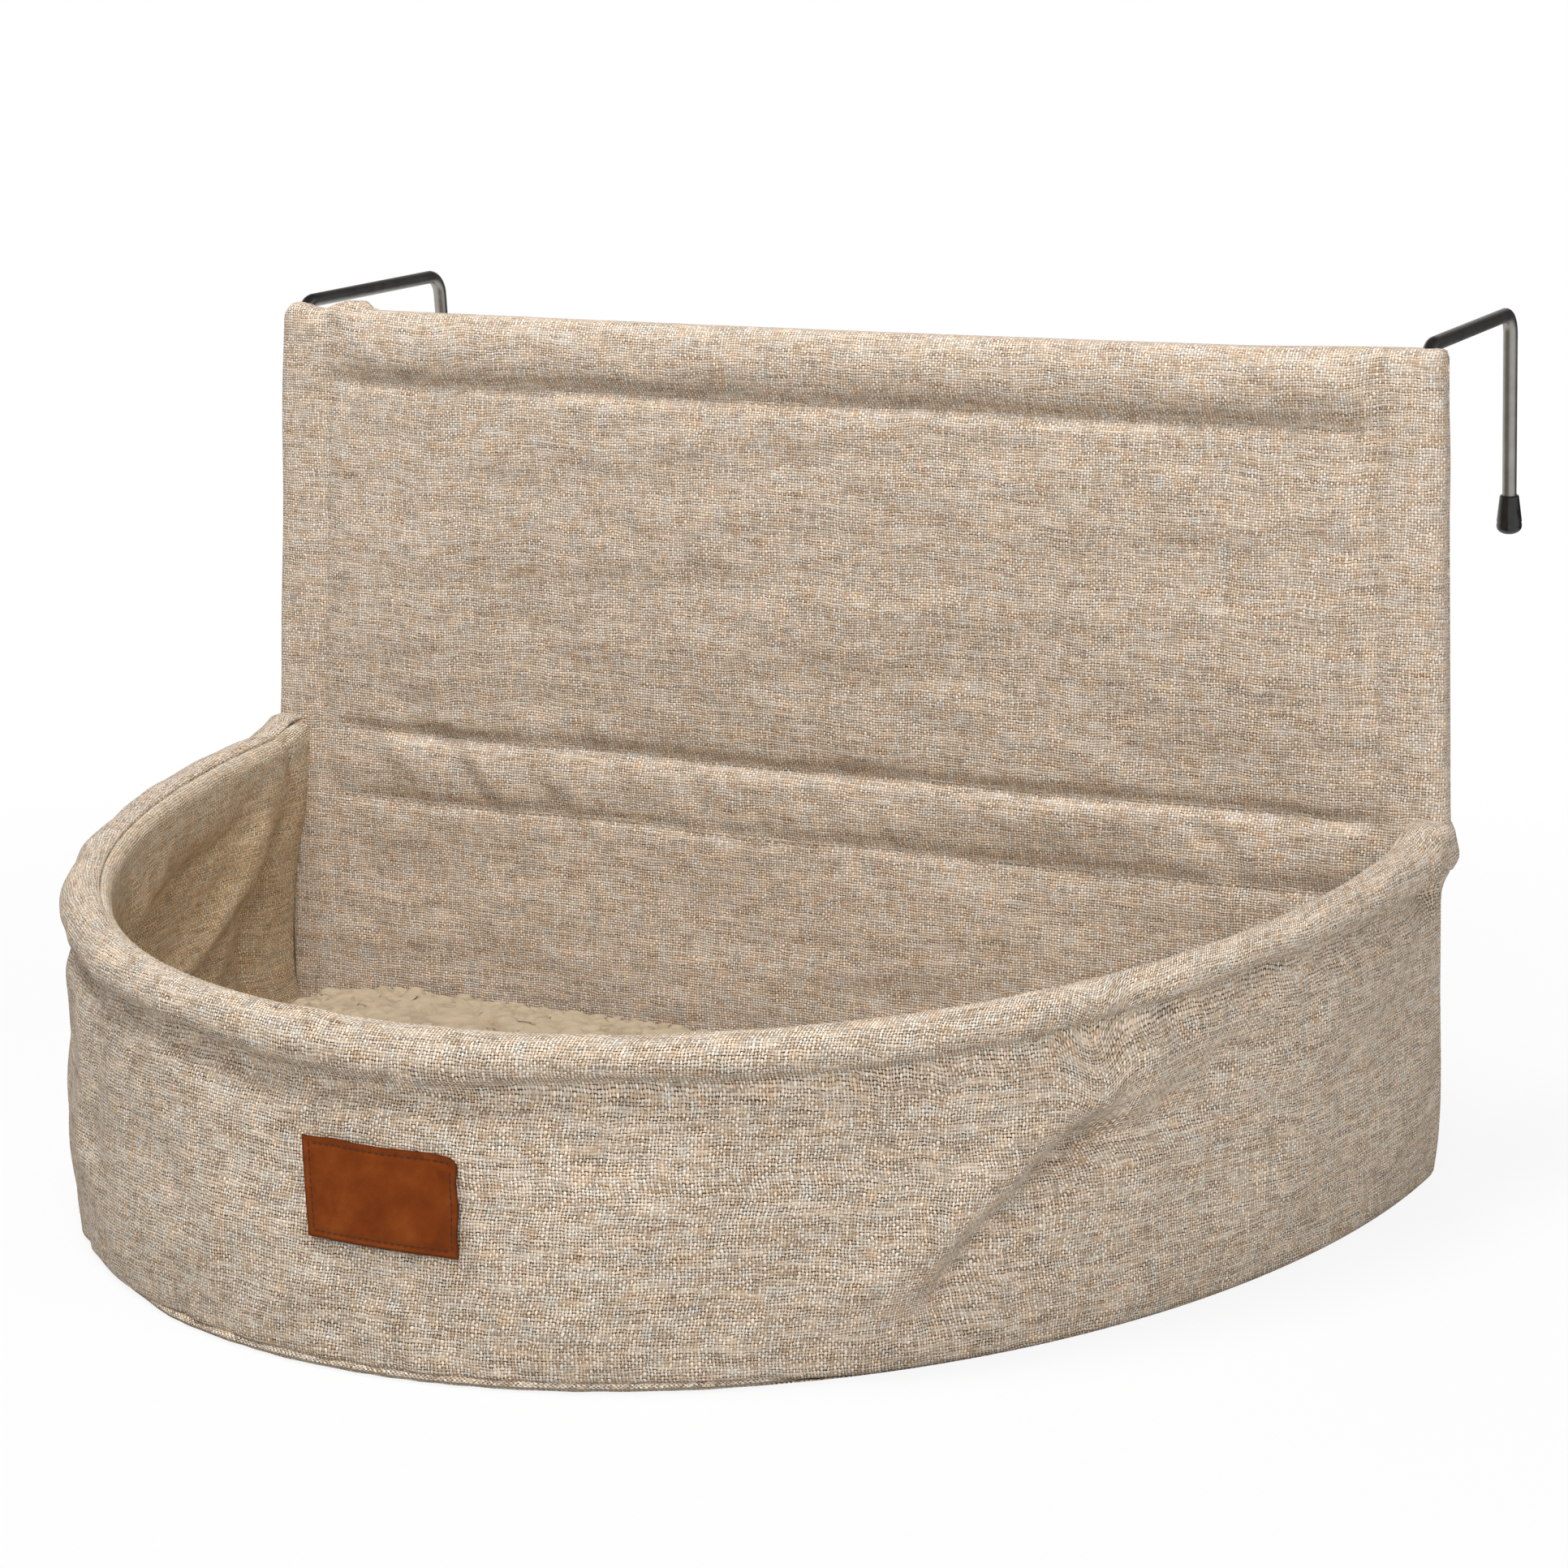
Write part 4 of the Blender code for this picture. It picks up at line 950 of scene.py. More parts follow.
def top_lift(across, height):
    """How far the top edge's shape lifts the cloth, which bunches round the left wire."""
    ear_place, ear_height, ear_width = -0.2180, 0.0022, 0.0050
    bunch_height, bunch_start, bunch_stop = 0.0033, (-0.2080, -0.1965), (0.1855, 0.1905)
    sag, sag_reach = 0.0006, 0.18
    right_height, right_start = 0.0013, (0.15, 0.216)
    fade_height = 0.03

    ear = ridge(across - ear_place, ear_height, ear_width)
    bunch = bunch_height * smooth_step(across, *bunch_start) * smooth_step(-across, *bunch_stop)
    low = sag * np.sin(math.pi * np.clip((across + sag_reach) / (2 * sag_reach), 0.0, 1.0))
    edge = ear + bunch - low + right_height * smooth_step(across, *right_start)
    return edge * smooth_step(height, panel_top - fade_height, panel_top)


def corner_round(across_inset, top_inset, radius):
    """How far a point near a corner is pulled in to round it off."""
    dx = np.clip(radius - across_inset, 0.0, None)
    dz = np.clip(radius - top_inset, 0.0, None)
    shrink = np.maximum(dx, dz) / np.maximum(np.hypot(dx, dz), tiny)
    both = (dx > 0) & (dz > 0)
    move_x = np.where(both, dx * (1 - shrink), 0.0)
    move_z = np.where(both, dz * (1 - shrink), 0.0)
    return move_x, move_z


def panel_places(shares, rows):
    """A grid over the backrest: places before and after its corners are rounded, and insets."""
    left_radius, right_radius = 0.0045, 0.0020
    share, height = np.meshgrid(shares, rows)
    half_width = panel_half_width(height)
    across = share * half_width
    side_inset = half_width - np.abs(across)
    top_inset = panel_top - height
    radius = np.where(across < 0, left_radius, right_radius)
    move_x, move_z = corner_round(side_inset, top_inset, radius)
    x = across - np.sign(across) * move_x
    z = height - move_z + top_lift(across, height)
    return across, height, x, z, side_inset, top_inset


def with_border(grid, uv, depths):
    """Turn a grid's edges back to the listed depths, down both sides and along the top."""
    for target in depths:
        left = grid[:, :1].copy()
        right = grid[:, -1:].copy()
        left[..., 1] = target
        right[..., 1] = target
        step = np.abs(left[..., 1:2] - grid[:, :1, 1:2])
        uv = np.concatenate((uv[:, :1] - step * (1, 0), uv, uv[:, -1:] + step * (1, 0)), axis=1)
        grid = np.concatenate((left, grid, right), axis=1)
        top = grid[-1:].copy()
        top[..., 1] = target
        uv = np.concatenate((uv, uv[-1:] + np.abs(top[..., 1:2] - grid[-1:, :, 1:2]) * (0, 1)))
        grid = np.concatenate((grid, top))
    return grid, uv


def make_backrest_front(linen, foot):
    """Front cloth of the backrest, with its rolled edge."""
    edge_radius, edge_fade = 0.0036, 0.006
    edge_insets = (0.0, 0.0002, 0.0006, 0.0012, 0.0019, 0.0027, 0.0036, 0.0050, 0.0070)
    columns, rows = 290, 190
    side_start = 0.18
    border_depths = (-0.0046, -0.0036, -0.0024, -0.0012)
    thickness = 0.0009

    near = np.array(edge_insets[:-1])
    inner = panel_rim_half_width - edge_insets[-1]
    stops = np.concatenate((-panel_rim_half_width + near, np.linspace(-inner, inner, columns),
                            (panel_rim_half_width - near)[::-1]))
    levels = np.concatenate((np.linspace(foot, panel_top - edge_insets[-1], rows),
                             (panel_top - near)[::-1]))
    across, height, x, z, side_inset, top_inset = panel_places(stops / panel_rim_half_width, levels)

    def setback(inset):
        near_edge = np.clip(1 - inset / edge_radius, 0.0, 1.0)
        return edge_radius * (1 - np.sqrt(1 - near_edge * near_edge))

    back = np.maximum(setback(side_inset), setback(top_inset))
    fade = smooth_step(np.minimum(side_inset, top_inset), 0.0, edge_fade)
    depth = front_plane + back - panel_relief(across, height) * fade
    side_wave = ripple(np.stack((height, height * 0), axis=-1), panel_side_ripple)
    near_side = smooth_step(np.abs(across), side_start, panel_half_width(height))
    grid = np.stack((x + np.sign(across) * side_wave * near_side, depth, z), axis=-1)
    u, v = grid_lengths(grid)
    uv = np.stack((u - u.mean(axis=1)[:, None], v), axis=-1)
    grid, uv = with_border(grid, uv, border_depths)
    front = grid_object("backrest_front_cloth", grid, uv, linen, "bed")
    add_thickness(front, thickness)
    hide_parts("backrest_front_panel", "backrest_upper_wadding", "backrest_lower_wadding")


def make_backrest_rear(linen, foot):
    """Rear cloth of the backrest, raised over the two upright wires."""
    columns, rows = 150, 100
    edge_plane, middle_rise = -0.0010, 0.0008
    edge_fade = 0.006
    wire_inset, wire_rise, wire_width = 0.0102, 0.0007, 0.004
    rear_stretch = (0.6, 1.0)
    thickness = 0.0008

    across, height, x, z, side_inset, top_inset = panel_places(
        np.linspace(-1, 1, columns), np.linspace(foot, panel_top, rows))
    place = np.stack((across, height), axis=-1)
    edge = smooth_step(np.minimum(side_inset, top_inset), 0.0, edge_fade)
    depth = edge_plane + edge * (middle_rise + ripple(place * rear_stretch, rear_ripple))
    depth += ridge(side_inset - wire_inset, wire_rise, wire_width) * edge
    grid = np.stack((x, depth, z), axis=-1)[:, ::-1]
    uv = np.stack(grid_lengths(grid), axis=-1)
    rear = grid_object("backrest_rear_cloth", grid, uv, linen, "bed")
    add_thickness(rear, thickness)
    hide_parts("backrest_rear_panel")


def make_backrest_seams(thread):
    """Stitching along the rod channels and down the side sleeves."""
    seam_reach, seam_stops = 0.2, 400
    sleeve_end, sleeve_stops = 0.004, 200

    def seam_on_front(name, across, height):
        depth = front_plane - panel_relief(across, height)
        path = np.column_stack((across, depth, height + top_lift(across, height)))
        normals = np.tile((0.0, -1.0, 0.0), (len(path), 1))
        make_stitches(name, path, normals, thread)

    run = np.linspace(-seam_reach, seam_reach, seam_stops)
    for name, level in (("rim_channel_foot_seam", channels[0][0]),
                        ("rim_channel_top_seam", channels[0][1]),
                        ("top_channel_seam", channels[1][0])):
        place = np.column_stack((run, np.full_like(run, level)))
        seam_on_front(name, run, level + ripple(place * (1.0, 0.0), seam_ripple))
    up = np.linspace(rim_top + sleeve_end, channels[1][0] - sleeve_end, sleeve_stops)
    for side, name in ((-1, "left_sleeve_seam"), (1, "right_sleeve_seam")):
        seam_on_front(name, side * (panel_half_width(up) - sleeve_width), up)


def make_backrest(linen, thread):
    """The backrest's front cloth, its rear cloth and their stitching."""
    foot = base_level + fabric + seat_gap
    make_backrest_front(linen, foot)
    make_backrest_rear(linen, foot)
    make_backrest_seams(thread)


# Basket
def welt_shows(arcs):
    """How far the welt stands out below the wall, by arc share; elsewhere the cloth turns under."""
    start, stop = (0.36, 0.42), (-0.68, -0.62)
    return smooth_step(arcs, *start) * smooth_step(-arcs, *stop)


def lift_ends(grid):
    """Raise the rim where it meets the backrest."""
    height = 0.0034
    panel_far, panel_near = 0.022, 0.002
    rim_far, rim_near = 0.03, 0.004
    x, y, z = np.moveaxis(grid, -1, 0)
    lift = height * smooth_step(y, front_plane - panel_far, front_plane - panel_near)
    lift *= smooth_step(z, rim_level - rim_far, rim_level - rim_near)
    return np.stack((x, y, z + lift), axis=-1)


def fit_to_backrest(grid):
    """Lead the wall's ends beside the backrest's edges, or where they lie within them to its face."""
    margin, fade = 0.0006, 0.0022
    face_gap = 0.0001
    tuck_depth, side_gap = 0.0032, 0.0002
    zone_depth = 0.011
    rear = wall_start + front_plane
    zone = front_plane - zone_depth
    x, y, z = np.moveaxis(grid, -1, 0)
    edge = panel_half_width(z)
    within = smooth_step(edge + margin - np.abs(x), 0.0, fade)
    stop = mix(rear, front_plane - face_gap, within)
    y = np.where(y > zone, zone + (y - zone) / (rear - zone) * (stop - zone), y)
    sunk = np.clip((y - rear + tuck_depth) / tuck_depth, 0.0, 1.0)
    proud = np.maximum(np.abs(x) - edge - side_gap, 0.0)
    x = x - np.sign(x) * proud * (1 - np.sqrt(1 - sunk * sunk))
    return np.stack((x, y, z), axis=-1)


def square_roll(lines, angles):
    """Make the roll's section squarer where it passes the backrest's edges."""
    power_at_panel = 0.75
    panel_far, panel_near = 0.014, 0.002
    for line, angle in zip(lines, angles):
        near = smooth_step(line[:, 1], front_plane - panel_far, front_plane - panel_near)
        power = mix(1.0, power_at_panel, near)
        for axis, part, sign in ((0, math.cos(angle), np.sign(line[:, 0])), (2, math.sin(angle), 1.0)):
            squarer = np.sign(part) * abs(part) ** power - part
            line[:, axis] += sign * rim_roll_radius * squarer * near


def turn_foot(grid, shares, foot_share):
    """Drop the wall's foot and turn it under, except where the welt shows."""
    drop_hidden, drop_at_welt = 0.0031, 0.0012
    turn_steps = (0.0028, 0.0009)
    foot_inset, foot_drop = 0.0005, 0.0002
    arcs, _ = grid_lengths(grid)
    arcs /= arcs[:, -1:]
    near_foot = np.clip(1 - shares / foot_share, 0.0, 1.0) ** 2
    drop = mix(drop_hidden, drop_at_welt, welt_shows(arcs[:len(shares)])) * near_foot[:, None]
    grid[:len(shares), :, 2] -= drop
    inward = -grid_normals(grid)[:1] * (1.0, 1.0, 0.0)
    grid[0] = grid[0] + inward[0] * foot_inset
    turned = [grid[:1] + inward * turn_steps[0],
              grid[:1] + inward * turn_steps[1] - (0, 0, foot_drop)]
    return np.concatenate((*turned, grid)), np.concatenate((arcs[:1], arcs[:1], arcs))


def wall_relief(u, v, arcs, crease_v):
    """How far the wall's cloth stands proud, from its foot up over the roll."""
    top_fade, foot_fade = (-0.11, -0.085), (0.0, 0.012)
    foot_pucker_height, foot_pucker_start = 0.008, (0.0, 0.0015)
    cloth_ends, groove_ends = (0.008, 0.03), (0.005, 0.014)
    filled_share, filled_width = 0.30, 0.0055
    pucker_drop, pucker_width = 0.006, 0.009
    roll_start, roll_stop = (0.0, 0.008), (0.002, 0.006)
    fuller_height, fuller_start = 0.0022, (0.94, 0.985)
    fuller_rise, fuller_width = 0.001, 0.0060
    wall_stretch, foot_stretch = (0.8, 1.0), (1.0, 0.25)
    crease_stretch, roll_stretch = (0.8, 0.3), (1.0, 0.5)

    place = np.stack((u, v), axis=-1)
    on_wall = smooth_step(-v, *top_fade) * smooth_step(v, *foot_fade)
    relief = ripple(place * wall_stretch, wall_ripple) * on_wall
    relief += ripple(place, wall_pucker) * on_wall
    near_foot = ridge(v, 1.0, foot_pucker_height) * smooth_step(v, *foot_pucker_start)
    relief += ripple(place * foot_stretch, foot_pucker) * near_foot

    shift = np.interp(arcs, crease_arcs, crease_shifts)
    depth = np.interp(arcs, crease_arcs, crease_depths)
    width = np.interp(arcs, crease_arcs, crease_widths)
    groove = ridge(v - (crease_v + shift), depth, width)
    groove *= smooth_step(end_distance(u), *groove_ends)
    filled = filled_share * np.interp(arcs, crease_arcs, np.abs(crease_shifts))
    relief += ridge(v - crease_v, filled, filled_width)
    near_crease = ridge(v - crease_v + pucker_drop, 1.0, pucker_width)
    relief += ripple(place * crease_stretch, crease_pucker) * near_crease
    on_roll = smooth_step(v - crease_v, *roll_start) * smooth_step(v[-1] - v, *roll_stop)
    relief += ripple(place * roll_stretch, roll_ripple) * on_roll
    fuller = fuller_height * smooth_step(arcs, *fuller_start)
    fuller = ridge(v - crease_v - fuller_rise, fuller, fuller_width)
    return relief * smooth_step(end_distance(u), *cloth_ends) + fuller - groove


def make_wall(linen, thread):
    """Outer cloth of the basket, up over the rim's roll to the seam on its inner side."""
    ends = (0.0, 0.0006, 0.0014, 0.0026, 0.0040, 0.0054, 0.0068, 0.0080, 0.0088, 0.0096, 0.0106,
            0.0120, 0.0138, 0.0160)
    middle_stops = 400
    foot_share, foot_rows, wall_rows, roll_rows = 0.06, 7, 58, 36
    tuck, tuck_angle = 0.0004, 0.22
    last_angle, last_tuck = 0.02, 0.0015
    soft_reach, soft_rounds = 5, 6
    right_draw, right_band = 0.0019, (0.90, 0.985)
    below_roll, draw_band = (-0.004, 0.012), (0.0, 0.070)
    seam_row, seam_end, seam_depth = -3, 20, 0.0001

    stops_of = end_stops(np.array(ends), middle_stops)
    shares = np.concatenate((np.linspace(0.0, foot_share, foot_rows)[:-1],
                             np.linspace(foot_share, 1.0, wall_rows)))
    rows = [wall_row(share, 0.0, wall_foot_level, wall_folds, stops_of) for share in shares]
    crease_row = len(rows)
    angles = np.linspace(crease_angle, seam_angle, roll_rows)[1:]
    for angle in angles:
        in_seam = smooth_step(angle, seam_angle - tuck_angle, seam_angle)
        rows.append(roll_row(angle, rim_roll_radius - tuck * in_seam, stops_of))
    rows.append(roll_row(seam_angle + last_angle, rim_roll_radius - last_tuck, stops_of))
    grid = soften_rows(np.array(rows), crease_row, soft_reach, soft_rounds)
    square_roll(grid[crease_row:crease_row + len(angles)], angles)
    grid, arcs = turn_foot(grid, shares, foot_share)
    crease_row += 2
    normals = grid_normals(grid)
    u, v = grid_lengths(grid)
    u = u - u.mean(axis=1)[:, None]
    v = v - v[2]
    crease_v = v[crease_row]
    grid = grid + normals * wall_relief(u, v, arcs, crease_v)[..., None]
    drawn = smooth_step(arcs, *right_band) * smooth_step(crease_v - v, *below_roll)
    grid[..., 0] -= right_draw * drawn * smooth_step(v, *draw_band)
    grid = fit_to_backrest(lift_ends(grid))
    wall = grid_object("basket_wall_cloth", grid, np.stack((u, v), axis=-1), linen, "bed")
    add_thickness(wall)
    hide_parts("basket_wall_outer", "basket_wall_wadding", "rim_padding")

    seam = grid[seam_row, seam_end:-seam_end]
    seam_normals = normals[seam_row, seam_end:-seam_end]
    make_stitches("rim_seam", seam - seam_normals * seam_depth, seam_normals, thread)


def make_lining(linen):
    """Inner cloth of the basket, from the rim seam over the roll and down to the floor."""
    ends = (0.0085, 0.0097, 0.0113, 0.0132, 0.0157, 0.0183)
    middle_stops = 380
    first_rows = ((-0.10, 0.0017), (-0.04, 0.0013))
    roll_start, roll_rows = 0.02, 14
    tuck, tuck_start, tuck_stop = 0.0005, 0.25, 0.03
    hang_start, hang_rows = 0.93, 52
    soft_reach, soft_rounds = 5, 8
    top_fade, foot_fade, end_fade = (0.008, 0.03), (0.0, 0.012), (0.002, 0.012)
    pinch_depth, pinch_width, pinch_lean = 0.0022, 0.0018, 0.20
    pinch_along, pinch_down = 0.0125, 0.012
    pinch_start, pinch_stop = (0.001, 0.006), (-0.030, -0.018)
    slant_along, slant_down, slant_height = 0.9, 0.6, 0.5

    stops_of = end_stops(np.array(ends), middle_stops)
    rows = [roll_row(seam_angle + turn, rim_roll_radius - depth, stops_of)
            for turn, depth in first_rows]
    for angle in np.linspace(seam_angle + roll_start, roll_inner_angle, roll_rows):
        depth = tuck * smooth_step(-angle, -seam_angle - tuck_start, -seam_angle - tuck_stop)
        rows.append(roll_row(angle, rim_roll_radius - depth, stops_of))
    hang_row = len(rows)
    for share in np.linspace(hang_start, 0.0, hang_rows):
        hang = np.interp(share, hang_heights, hang_shares)
        rows.append(wall_row(share, mix(wall_thickness, roll_inset, hang), lining_foot_level,
                             wall_folds + lining_folds, stops_of))
    grid = soften_rows(np.array(rows), hang_row, soft_reach, soft_rounds)
    normals = grid_normals(grid)
    u, v = grid_lengths(grid)
    u = u - u.mean(axis=1)[:, None]
    place = np.stack((u, v), axis=-1)
    slanted = np.stack((u * slant_along + v * slant_down, v * slant_height), axis=-1)
    fade = smooth_step(v, *top_fade) * smooth_step(v[-1] - v, *foot_fade)
    relief = ripple(slanted, lining_ripple) * fade + ripple(place, lining_pucker) * fade
    beside = u - u[:, :1] - pinch_along + pinch_lean * (v - pinch_down)
    pinch = ridge(beside, pinch_depth, pinch_width)
    relief -= pinch * smooth_step(v, *pinch_start) * smooth_step(-v, *pinch_stop)
    relief *= smooth_step(end_distance(u), *end_fade)
    grid = lift_ends(grid + normals * relief[..., None])
    lining = grid_object("basket_lining_cloth", grid, np.stack((u, -v), axis=-1), linen, "bed")
    add_thickness(lining)
    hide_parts("basket_wall_lining")


def disc_grid(sizes, start, columns, rings):
    """A D-shaped sheet as a grid: rows run from the middle of its rear edge out to its outline."""
    first_share = 0.0005
    outline, _ = d_outline(*sizes, start, even_stops(columns))
    centre = np.array((0.0, outline[0, 1]))
    shares = np.linspace(first_share, 1.0, rings)
    return np.array([centre + (outline - centre) * share for share in shares])


def with_level(plan, level):
    return np.concatenate((plan, level[..., None]), axis=-1)


def make_floor(linen):
    """The floor's outer and inner cloth."""
    under_rise, under_thickness = 0.0003, -0.0008
    inner_drop, inner_thickness = 0.0002, 0.0006
    inner_start, foot_hang = -0.0034, 0.8
    under_columns, under_rows, inner_columns, inner_rows = 150, 50, 120, 40

    sizes = (base_half_width - piping_radius - seat_gap, 0.0, base_reach - piping_radius - seat_gap,
             base_fullness)
    plan = disc_grid(sizes, panel_thickness, under_columns, under_rows)
    grid = with_level(plan, base_level + under_rise + ripple(plan, base_ripple))
    under = grid_object("base_cloth", grid, plan, linen, "bed")
    add_thickness(under, under_thickness)
    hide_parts("base_panel")

    inset = mix(wall_thickness, roll_inset, foot_hang) + 2 * seat_gap
    sizes = (base_half_width - inset, 0.0, base_reach - inset, base_fullness)
    plan = disc_grid(sizes, inner_start, inner_columns, inner_rows)
    grid = with_level(plan, floor_level - inner_drop + ripple(plan, floor_ripple))
    inner = grid_object("floor_lining_cloth", grid[:, ::-1], plan[:, ::-1], linen, "bed")
    add_thickness(inner, inner_thickness)
    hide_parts("base_lining")


def make_welt(linen):
    """The covered welt in the seam between wall and floor, its cloth cut on the slant."""
    stops, sides = 460, 12
    inset_shown, inset_hidden = 0.0003, 0.0032
    size_shown, size_hidden = 0.8, 0.5
    path, arcs = d_outline(base_half_width, 0.0, base_reach, base_fullness, wall_start,
                           even_stops(stops))
    outward = plan_normals(path)
    hidden = 1 - welt_shows(arcs)
    path = path - outward * mix(inset_shown, inset_hidden, hidden)[:, None]
    turns = np.linspace(0, 2 * math.pi, sides + 1)[:-1]
    level = base_level + size_shown * piping_radius + seat_gap
    radius = piping_radius * (1 + ripple(path, welt_lumps)) * mix(size_shown, size_hidden, hidden)
    rings = []
    for turn in turns:
        plan = path + outward * (radius * math.cos(turn))[:, None]
        rings.append(np.column_stack((plan, level + radius * math.sin(turn))))
    grid = np.array(rings).transpose(1, 0, 2)
    along = np.concatenate(([0], np.cumsum(np.linalg.norm(np.diff(path, axis=0), axis=1))))
    around, along = np.meshgrid(turns * piping_radius, along)
    slanted = np.stack((around + along, along - around), axis=-1) / math.sqrt(2)
    welt = grid_object("base_welt", grid[:, ::-1], slanted[:, ::-1], linen, "bed", wrap=True)
    close_ends(welt, sides)
    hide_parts("base_piping")


# Patch
@lru_cache(maxsize=None)
def even_wall_row(share):
    """One level row of the wall's outer face, at even distances."""
    return wall_row(share, 0.0, wall_foot_level, wall_folds, even_stops(wall_samples))


def wall_places(arcs, shares):
    """Places on the wall's outer face at arc and height shares."""
    points = np.empty(arcs.shape + (3,))
    for index in np.ndindex(arcs.shape):
        row = even_wall_row(round(float(shares[index]), 4))
        position = arcs[index] * (wall_samples - 1)
        low = int(position)
        points[index] = mix(row[low], row[low + 1], position - low)
    return points


def refined(values, count, axis):
    """A smooth curve through the values along one axis, at more places."""
    degree = 5
    old = np.linspace(0, 1, values.shape[axis])
    new = np.linspace(0, 1, count)

    def refit(line):
        return np.polynomial.Polynomial.fit(old, line, min(degree, len(old) - 1))(new)

    return np.apply_along_axis(refit, axis, values)


def shares_grid(columns, rows):
    return np.meshgrid(np.linspace(0, 1, columns), np.linspace(0, 1, rows))


def patch_lift(s, t, inset):
    """How far the patch stands off the wall: it curls at its right and sinks under its seam."""
    lying = 0.0003
    curl, curl_band, curl_low, curl_rise = 0.0016, (0.86, 1.0), 0.4, 0.6
    left_lift, left_band = 0.0005, (0.93, 1.0)
    bend, bend_s, bend_t, bend_slope, bend_width = 0.0004, 0.9, 0.85, 0.9, 0.035
    bend_band = (0.6, 0.95)
    seam_depth, seam_width = 0.00035, 0.0009
    lift = lying + curl * smooth_step(s, *curl_band) * (curl_low + curl_rise * t)
    lift += left_lift * smooth_step(1 - s, *left_band)
    across_bend = (s - bend_s) + (t - bend_t) * bend_slope
    lift += ridge(across_bend, bend, bend_width) * smooth_step(t, *bend_band)
    return lift - ridge(inset - label_seam_inset, seam_depth, seam_width)


def patch_face(s, t):
    """The places of the patch's face and their normals, at shares along its width and height."""
    rows, columns = s.shape
    coarse_columns, coarse_rows = 9, 6
    large_radius, small_radius = 0.0034, 0.0004
    top_band, side_band = (0.8, 1.0), (0.9, 1.0)
    edge_width, edge_round = 0.0005, 0.25

    top_left, top_right, foot_right, foot_left = np.array(label_corners)
    coarse_s, coarse_t = (share[..., None] for share in shares_grid(coarse_columns, coarse_rows))
    shares = mix(mix(foot_left, foot_right, coarse_s), mix(top_left, top_right, coarse_s), coarse_t)
    coarse = wall_places(shares[..., 0], shares[..., 1])
    sheet = refined(refined(coarse, columns, 1), rows, 0)
    normals = grid_normals(sheet)
    inset_s = np.minimum(s, 1 - s) * label_width
    inset_t = np.minimum(t, 1 - t) * label_height
    radius = np.where((s > 0.5) & (t > 0.5), large_radius, small_radius)
    move_s, move_t = corner_round(inset_s, inset_t, radius)
    move_t += ripple(s[..., None] * (label_width, 0.0), patch_top_ripple) * smooth_step(t, *top_band)
    move_s += ripple(t[..., None] * (label_height, 0.0), patch_side_ripple) * smooth_step(s, *side_band)
    directions = [np.gradient(sheet, axis=axis) for axis in (1, 0)]
    for along, share, move in zip(directions, (s, t), (move_s, move_t)):
        along /= np.linalg.norm(along, axis=-1)[..., None]
        sheet = sheet - along * (np.sign(share - 0.5) * move)[..., None]
    inset = np.minimum(inset_s, inset_t)
    edge = np.clip(1 - inset / edge_width, 0.0, 1.0)
    height = patch_lift(s, t, inset) + label_thickness * (1 - edge_round * edge ** 2)
    return sheet + normals * height[..., None], normals


def make_label(leather, dark_thread):
    """A bare leather patch, stitched round its edge, its right side curling off the cloth."""
    columns, rows = 65, 41
    bevel_width = 0.00025
    seam_stops = 60
    s, t = shares_grid(columns, rows)
    face, normals = patch_face(s, t)
    uv = np.stack((s * label_width, t * label_height), axis=-1)
    label = grid_object("leather_patch", face, uv, leather, "bed")
    add_thickness(label, label_thickness)
    bevel = label.modifiers.new("worn_edge", "BEVEL")
    bevel.width = bevel_width
    bevel.segments = 2
    bevel.limit_method = "ANGLE"
    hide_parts("label_patch")

    def on_patch(share_s, share_t):
        column = share_s * (columns - 1)
        row = share_t * (rows - 1)
        c = int(min(column, columns - 2))
        r = int(min(row, rows - 2))
        lower = mix(face[r, c], face[r, c + 1], column - c)
        upper = mix(face[r + 1, c], face[r + 1, c + 1], column - c)
        return np.concatenate((mix(lower, upper, row - r), normals[r, c]))

    near = np.array((label_seam_inset / label_width, label_seam_inset / label_height))
    corners = np.array(((0, 0), (1, 0), (1, 1), (0, 1))) * (1 - 2 * near) + near
    for number in range(len(corners)):
        start = corners[number]
        stop = corners[(number + 1) % len(corners)]
        path = np.array([on_patch(*mix(start, stop, share))
                         for share in np.linspace(0, 1, seam_stops)])
        seam = make_stitches("patch_stitches_%d" % (number + 1), path[:, :3], path[:, 3:],
                             dark_thread, length=patch_stitch_length, gap=patch_stitch_gap,
                             radius=patch_stitch_radius)


# Wire hooks and caps
def hook_points():
    """Centre line of one hanger from its upright's foot to its cap, the hook's end and its lean."""
    steps = 18
    wire_end_gap = 0.0033
    rise = math.atan(hook_rise_share)
    lean = rise + hook_opening
    along_arm = Vector((0.0, math.cos(rise), math.sin(rise)))
    below_arm = Vector((0.0, math.sin(rise), -math.cos(rise)))
    down_leg = Vector((0.0, math.sin(lean), -math.cos(lean)))
    leg_turn = math.pi / 2 - hook_opening
    arm_turn = math.pi / 2 - rise
    bend_start = wire_radius - bend_radius * math.tan(arm_turn / 2)
    points = [Vector((0.0, rod_plane, base_level + upright_foot)), Vector((0.0, rod_plane, bend_start))]
    centre = Vector((0.0, rod_plane + bend_radius, bend_start))
    for step in range(1, steps + 1):
        turn = arm_turn * step / steps
        points.append(centre + Vector((0.0, -math.cos(turn), math.sin(turn))) * bend_radius)
    corner = points[-1] + along_arm * ((hook_reach - points[-1].y) / along_arm.y)
    arm_end = corner - along_arm * bend_radius * math.tan(leg_turn / 2)
    centre = arm_end + below_arm * bend_radius
    for step in range(steps + 1):
        turn = leg_turn * step / steps
        points.append(centre + (along_arm * math.sin(turn) - below_arm * math.cos(turn)) * bend_radius)
    hook_end = corner + down_leg * hook_drop
    points.append(hook_end - down_leg * wire_end_gap)
    return points, hook_end, lean


